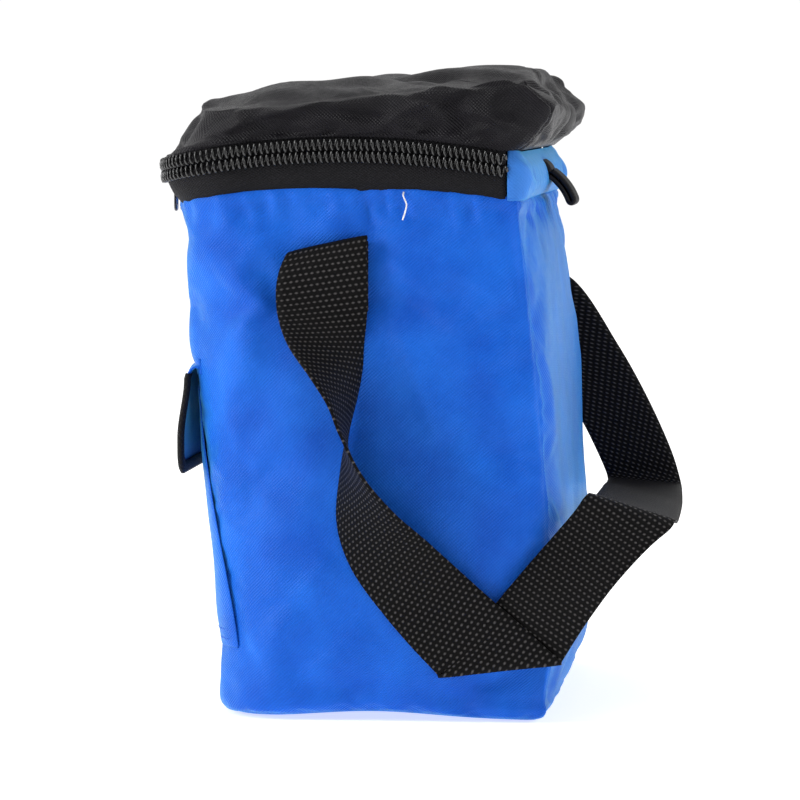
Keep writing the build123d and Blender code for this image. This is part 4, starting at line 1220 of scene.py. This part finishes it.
rows = []
for z in np.concatenate([[29.6, 31.0, 33.5], np.linspace(37, 141, 34)]):
    row = []
    rise = ease(z, 29, 44)
    reach = pocket_edge(z)
    for x in np.linspace(-reach, reach, 70):
        side = ease(reach - abs(x), 0, 64)
        out = 1.0 + (4.7 + 0.5 * ease(z, 90, 140)) * float(rise) * float(side)
        out += 0.5 * float(ease(reach - abs(x), 0, 4))
        sag = 0.35 * math.cos(math.pi * x / (2 * POCKET_X)) * float(ease(z, 110, 141))
        row.append(pocket_point(x, z, min(out + sag, 6.1)))
    rows.append(row)
grid = np.array(rows)
wide = ease(POCKET_X - np.abs(grid[..., 0]), 3, 14)
grid[..., 1] -= 0.45 * lumps(grid, 38, 61) * wide
pocket = sheet_object("pocket", grid[:, ::-1], 0.8)
subdivide(pocket)
finish_piece(pocket, BLUE, "shell_nylon", "bag", "pocket_panel")

parts = []
for z in (33.0, 37.0, 128.5, 131.5):
    reach = pocket_edge(z) - 2.5
    rise = float(ease(z, 29, 44))
    line = []
    for x in np.linspace(-reach, reach, 160):
        line.append(pocket_point(x, z, 1.9 + 4.9 * rise * float(ease(reach + 2.5 - abs(x), 0, 64))))
    parts += stitches(np.array(line), 2.6, 0.9, 0.26)
pocket_rows = merged("pocket_stitches", parts)
finish_piece(pocket_rows, BLUE_THREAD, "thread", "bag", "pocket_stitching")

FLAP_OUT = front_y(141.0) - 6.2 - 0.5
FLAP_LINE = [
    (front_y(149) - 1.4, 148.6),
    (front_y(149) - 3.4, 149.4),
    (FLAP_OUT + 0.6, 148.4),
    (FLAP_OUT - 1.0, 145.2),
    (FLAP_OUT - 1.0, 140),
    (FLAP_OUT - 0.9, 128),
    (FLAP_OUT - 0.8, 116),
    (FLAP_OUT - 0.8, 104.5),
]
FLAP_HALF, FLAP_FOOT, FLAP_CORNER = 91.0, 104.0, 9.0


def flap_turn(x, z):
    """The flap's upper corners lie back against the wall."""
    return 3.4 * ease(np.abs(x), 58, 90) * ease(z, 118, 146)


def flap_grid():
    """Rows of points across the flap, from its seam down to its rounded lower corners."""
    line = spline(FLAP_LINE, 2.6)
    line = line[line[:, 1] > FLAP_FOOT]
    cells = 60
    out = np.zeros((len(line), cells, 3))
    for i, (y, z) in enumerate(line):
        reach = FLAP_HALF
        rise = FLAP_FOOT + FLAP_CORNER - z
        if rise > 0:
            reach = FLAP_HALF - FLAP_CORNER + math.sqrt(max(FLAP_CORNER**2 - rise**2, 1.0))
        out[i, :, 0] = np.linspace(reach, -reach, cells)
        out[i, :, 1] = y
        out[i, :, 2] = z
    out[..., 1] += 0.3 * lumps(out, 50, 71) * ease(-out[..., 2], -140, -112)
    out[..., 1] += flap_turn(out[..., 0], out[..., 2])
    return out[::-1]


flap = sheet_object("flap", flap_grid(), 1.2)
subdivide(flap)
finish_piece(flap, BLUE, "shell_nylon", "flap", "pocket_flap")
CORNER_X, CORNER_Z = FLAP_HALF - FLAP_CORNER, FLAP_FOOT + FLAP_CORNER
edge_line = [(FLAP_HALF, z) for z in np.linspace(146.5, CORNER_Z, 16)]
for a in np.radians(np.linspace(0, 90, 9)[1:]):
    edge_line.append((CORNER_X + FLAP_CORNER * math.cos(a), CORNER_Z - FLAP_CORNER * math.sin(a)))
bottom = [(x, FLAP_FOOT) for x in np.linspace(78, -78, 44)]
edge_line = edge_line + bottom + [(-x, z) for x, z in edge_line[::-1]]
edge_line = np.array(edge_line)
tangent = np.gradient(edge_line, axis=0)
tangent /= np.linalg.norm(tangent, axis=1, keepdims=True)
inward = np.stack([tangent[:, 1], -tangent[:, 0]], 1)
inward *= np.sign(np.sum(inward * (np.array([0, 130.0]) - edge_line), axis=1))[:, None]
# the binding's section, wrapped round the flap's edge, as (inward, outward)
TAPE_SECTION = (
    (4.6, 1.0),
    (2.4, 1.12),
    (0.4, 1.05),
    (-0.7, 0.5),
    (-0.9, 0.0),
    (-0.7, -0.5),
    (0.4, -1.05),
    (2.4, -1.1),
    (4.6, -0.95),
)
rows = []
curve = spline(FLAP_LINE, 1.0)
order = np.argsort(curve[:, 1])
for across, lift in TAPE_SECTION:
    q = edge_line + inward * across
    y = np.interp(q[:, 1], curve[order][:, 1], curve[order][:, 0])
    y = y + flap_turn(q[:, 0], q[:, 1])
    rows.append(np.stack([q[:, 0], y - lift, q[:, 1]], 1))
binding = sheet_object("flap_edge_tape", np.array(rows), 0.5)
finish_piece(binding, BINDING, "binding_tape", "flap", "flap_binding")
PAD_X, PAD_Z = np.linspace(29.5, -29.5, 24), np.linspace(109.5, 124.6, 9)
loop_rows = [[(x, front_y(z) - 6.75, z) for x in PAD_X] for z in PAD_Z]
loop_pad = sheet_object("loop_pad", np.array(loop_rows), 0.7)
finish_piece(loop_pad, FASTENER, "hook_and_loop", "bag", "pocket_loop_patch")
hook_low, hook_high = cad_box("flap_hook_patch")
hook_y = (hook_low[1] + hook_high[1]) / 2
hook_rows = [[(x, hook_y, z) for x in PAD_X] for z in PAD_Z]
hook_pad = sheet_object("hook_pad", np.array(hook_rows), 0.6)
finish_piece(hook_pad, FASTENER, "hook_and_loop", "flap", "flap_hook_patch")
turned_x = np.linspace(FLAP_HALF, -FLAP_HALF, 60)
turned_rows = [[pocket_point(x, z, 0.9) for x in turned_x] for z in (146.2, 147.6, 149.4, 151.2, 152.8)]
turned = sheet_object("flap_turning", np.array(turned_rows), 0.9)
finish_piece(turned, BLUE, "shell_nylon", "bag", "flap_seam")

# ---------------------------------------------------------------- loose thread end
THREAD_END = (
    (107.6, 5.0, 224.6),
    (109.3, 5.0, 223.0),
    (109.1, 6.3, 219.6),
    (108.9, 5.7, 216.2),
    (109.0, 4.6, 212.9),
)
thread = merged("loose_thread", [tube(spline(THREAD_END, 0.5), 0.34, sides=7)])
finish_piece(thread, WHITE_THREAD, "thread", "bag")

# ---------------------------------------------------------------- camera, floor and light
scene = bpy.context.scene
camera = bpy.data.objects.new("camera", bpy.data.cameras.new("camera"))
scene.collection.objects.link(camera)
scene.camera = camera
camera.data.lens = 201.7
camera.data.sensor_width = 36.0
camera.data.clip_end = 50.0
azimuth, elevation, distance = math.radians(95.8), math.radians(3.9), 2.0
target = np.array([0.0, -0.0075, 0.1296])
level = math.cos(elevation)
away = np.array([math.sin(azimuth) * level, -math.cos(azimuth) * level, math.sin(elevation)])
camera.location = target + away * distance
camera.rotation_mode = "QUATERNION"
camera.rotation_quaternion = Vector(-away).to_track_quat("-Z", "Y")


LIGHTS_AIM = (0, 0, 0.13)


def soft_light(name, place, size, power):
    """A round softbox that faces the bag."""
    light = bpy.data.lights.new(name, "AREA")
    light.shape = "DISK"
    light.size = size
    light.energy = power
    obj = bpy.data.objects.new(name, light)
    scene.collection.objects.link(obj)
    obj.location = place
    obj.rotation_mode = "QUATERNION"
    obj.rotation_quaternion = (Vector(LIGHTS_AIM) - Vector(place)).to_track_quat("-Z", "Y")


soft_light("softbox_front", (0.8, -2.1, 1.0), 1.2, 34)
soft_light("softbox_back", (0.3, 2.0, 0.9), 1.1, 16)
soft_light("softbox_top", (0.7, -0.5, 2.1), 0.7, 9)

# the surroundings grade from a lit front to a dim rear, before a plain pale background
world = bpy.data.worlds.new("studio")
scene.world = world
world.use_nodes = True
nodes, links = world.node_tree.nodes, world.node_tree.links
background = nodes["Background"]
where = nodes.new("ShaderNodeTexCoord")
split = nodes.new("ShaderNodeSeparateXYZ")
links.new(where.outputs["Generated"], split.inputs[0])
shade = nodes.new("ShaderNodeMapRange")
shade.interpolation_type = "SMOOTHSTEP"
for socket, item in zip(shade.inputs, (split.outputs[0], -0.2, 0.9, 0.75, 0.22)):
    if isinstance(item, bpy.types.NodeSocket):
        links.new(item, socket)
    else:
        socket.default_value = item
straight = nodes.new("ShaderNodeLightPath")
strength = nodes.new("ShaderNodeMix")
strength.data_type = "FLOAT"
links.new(straight.outputs["Is Camera Ray"], strength.inputs[0])
links.new(shade.outputs[0], strength.inputs[2])
strength.inputs[3].default_value = 1.02
links.new(strength.outputs[0], background.inputs["Strength"])
background.inputs["Color"].default_value = (1, 1, 1, 1)

bpy.ops.mesh.primitive_plane_add(size=14.0, location=(0, 0, 0))
floor = bpy.context.object
floor.name = "floor"
paper = Shader("paper_floor")
fleck = paper.noise(60.0, 2.0)
paper.set(Base_Color=paper.mix(fleck, (0.86, 0.86, 0.86), (0.88, 0.88, 0.88)), Roughness=0.9)
paper.set(Emission_Color=(1.0, 1.0, 1.0), Emission_Strength=0.62)
floor.data.materials.append(paper.mat)

scene.view_settings.view_transform = "Standard"
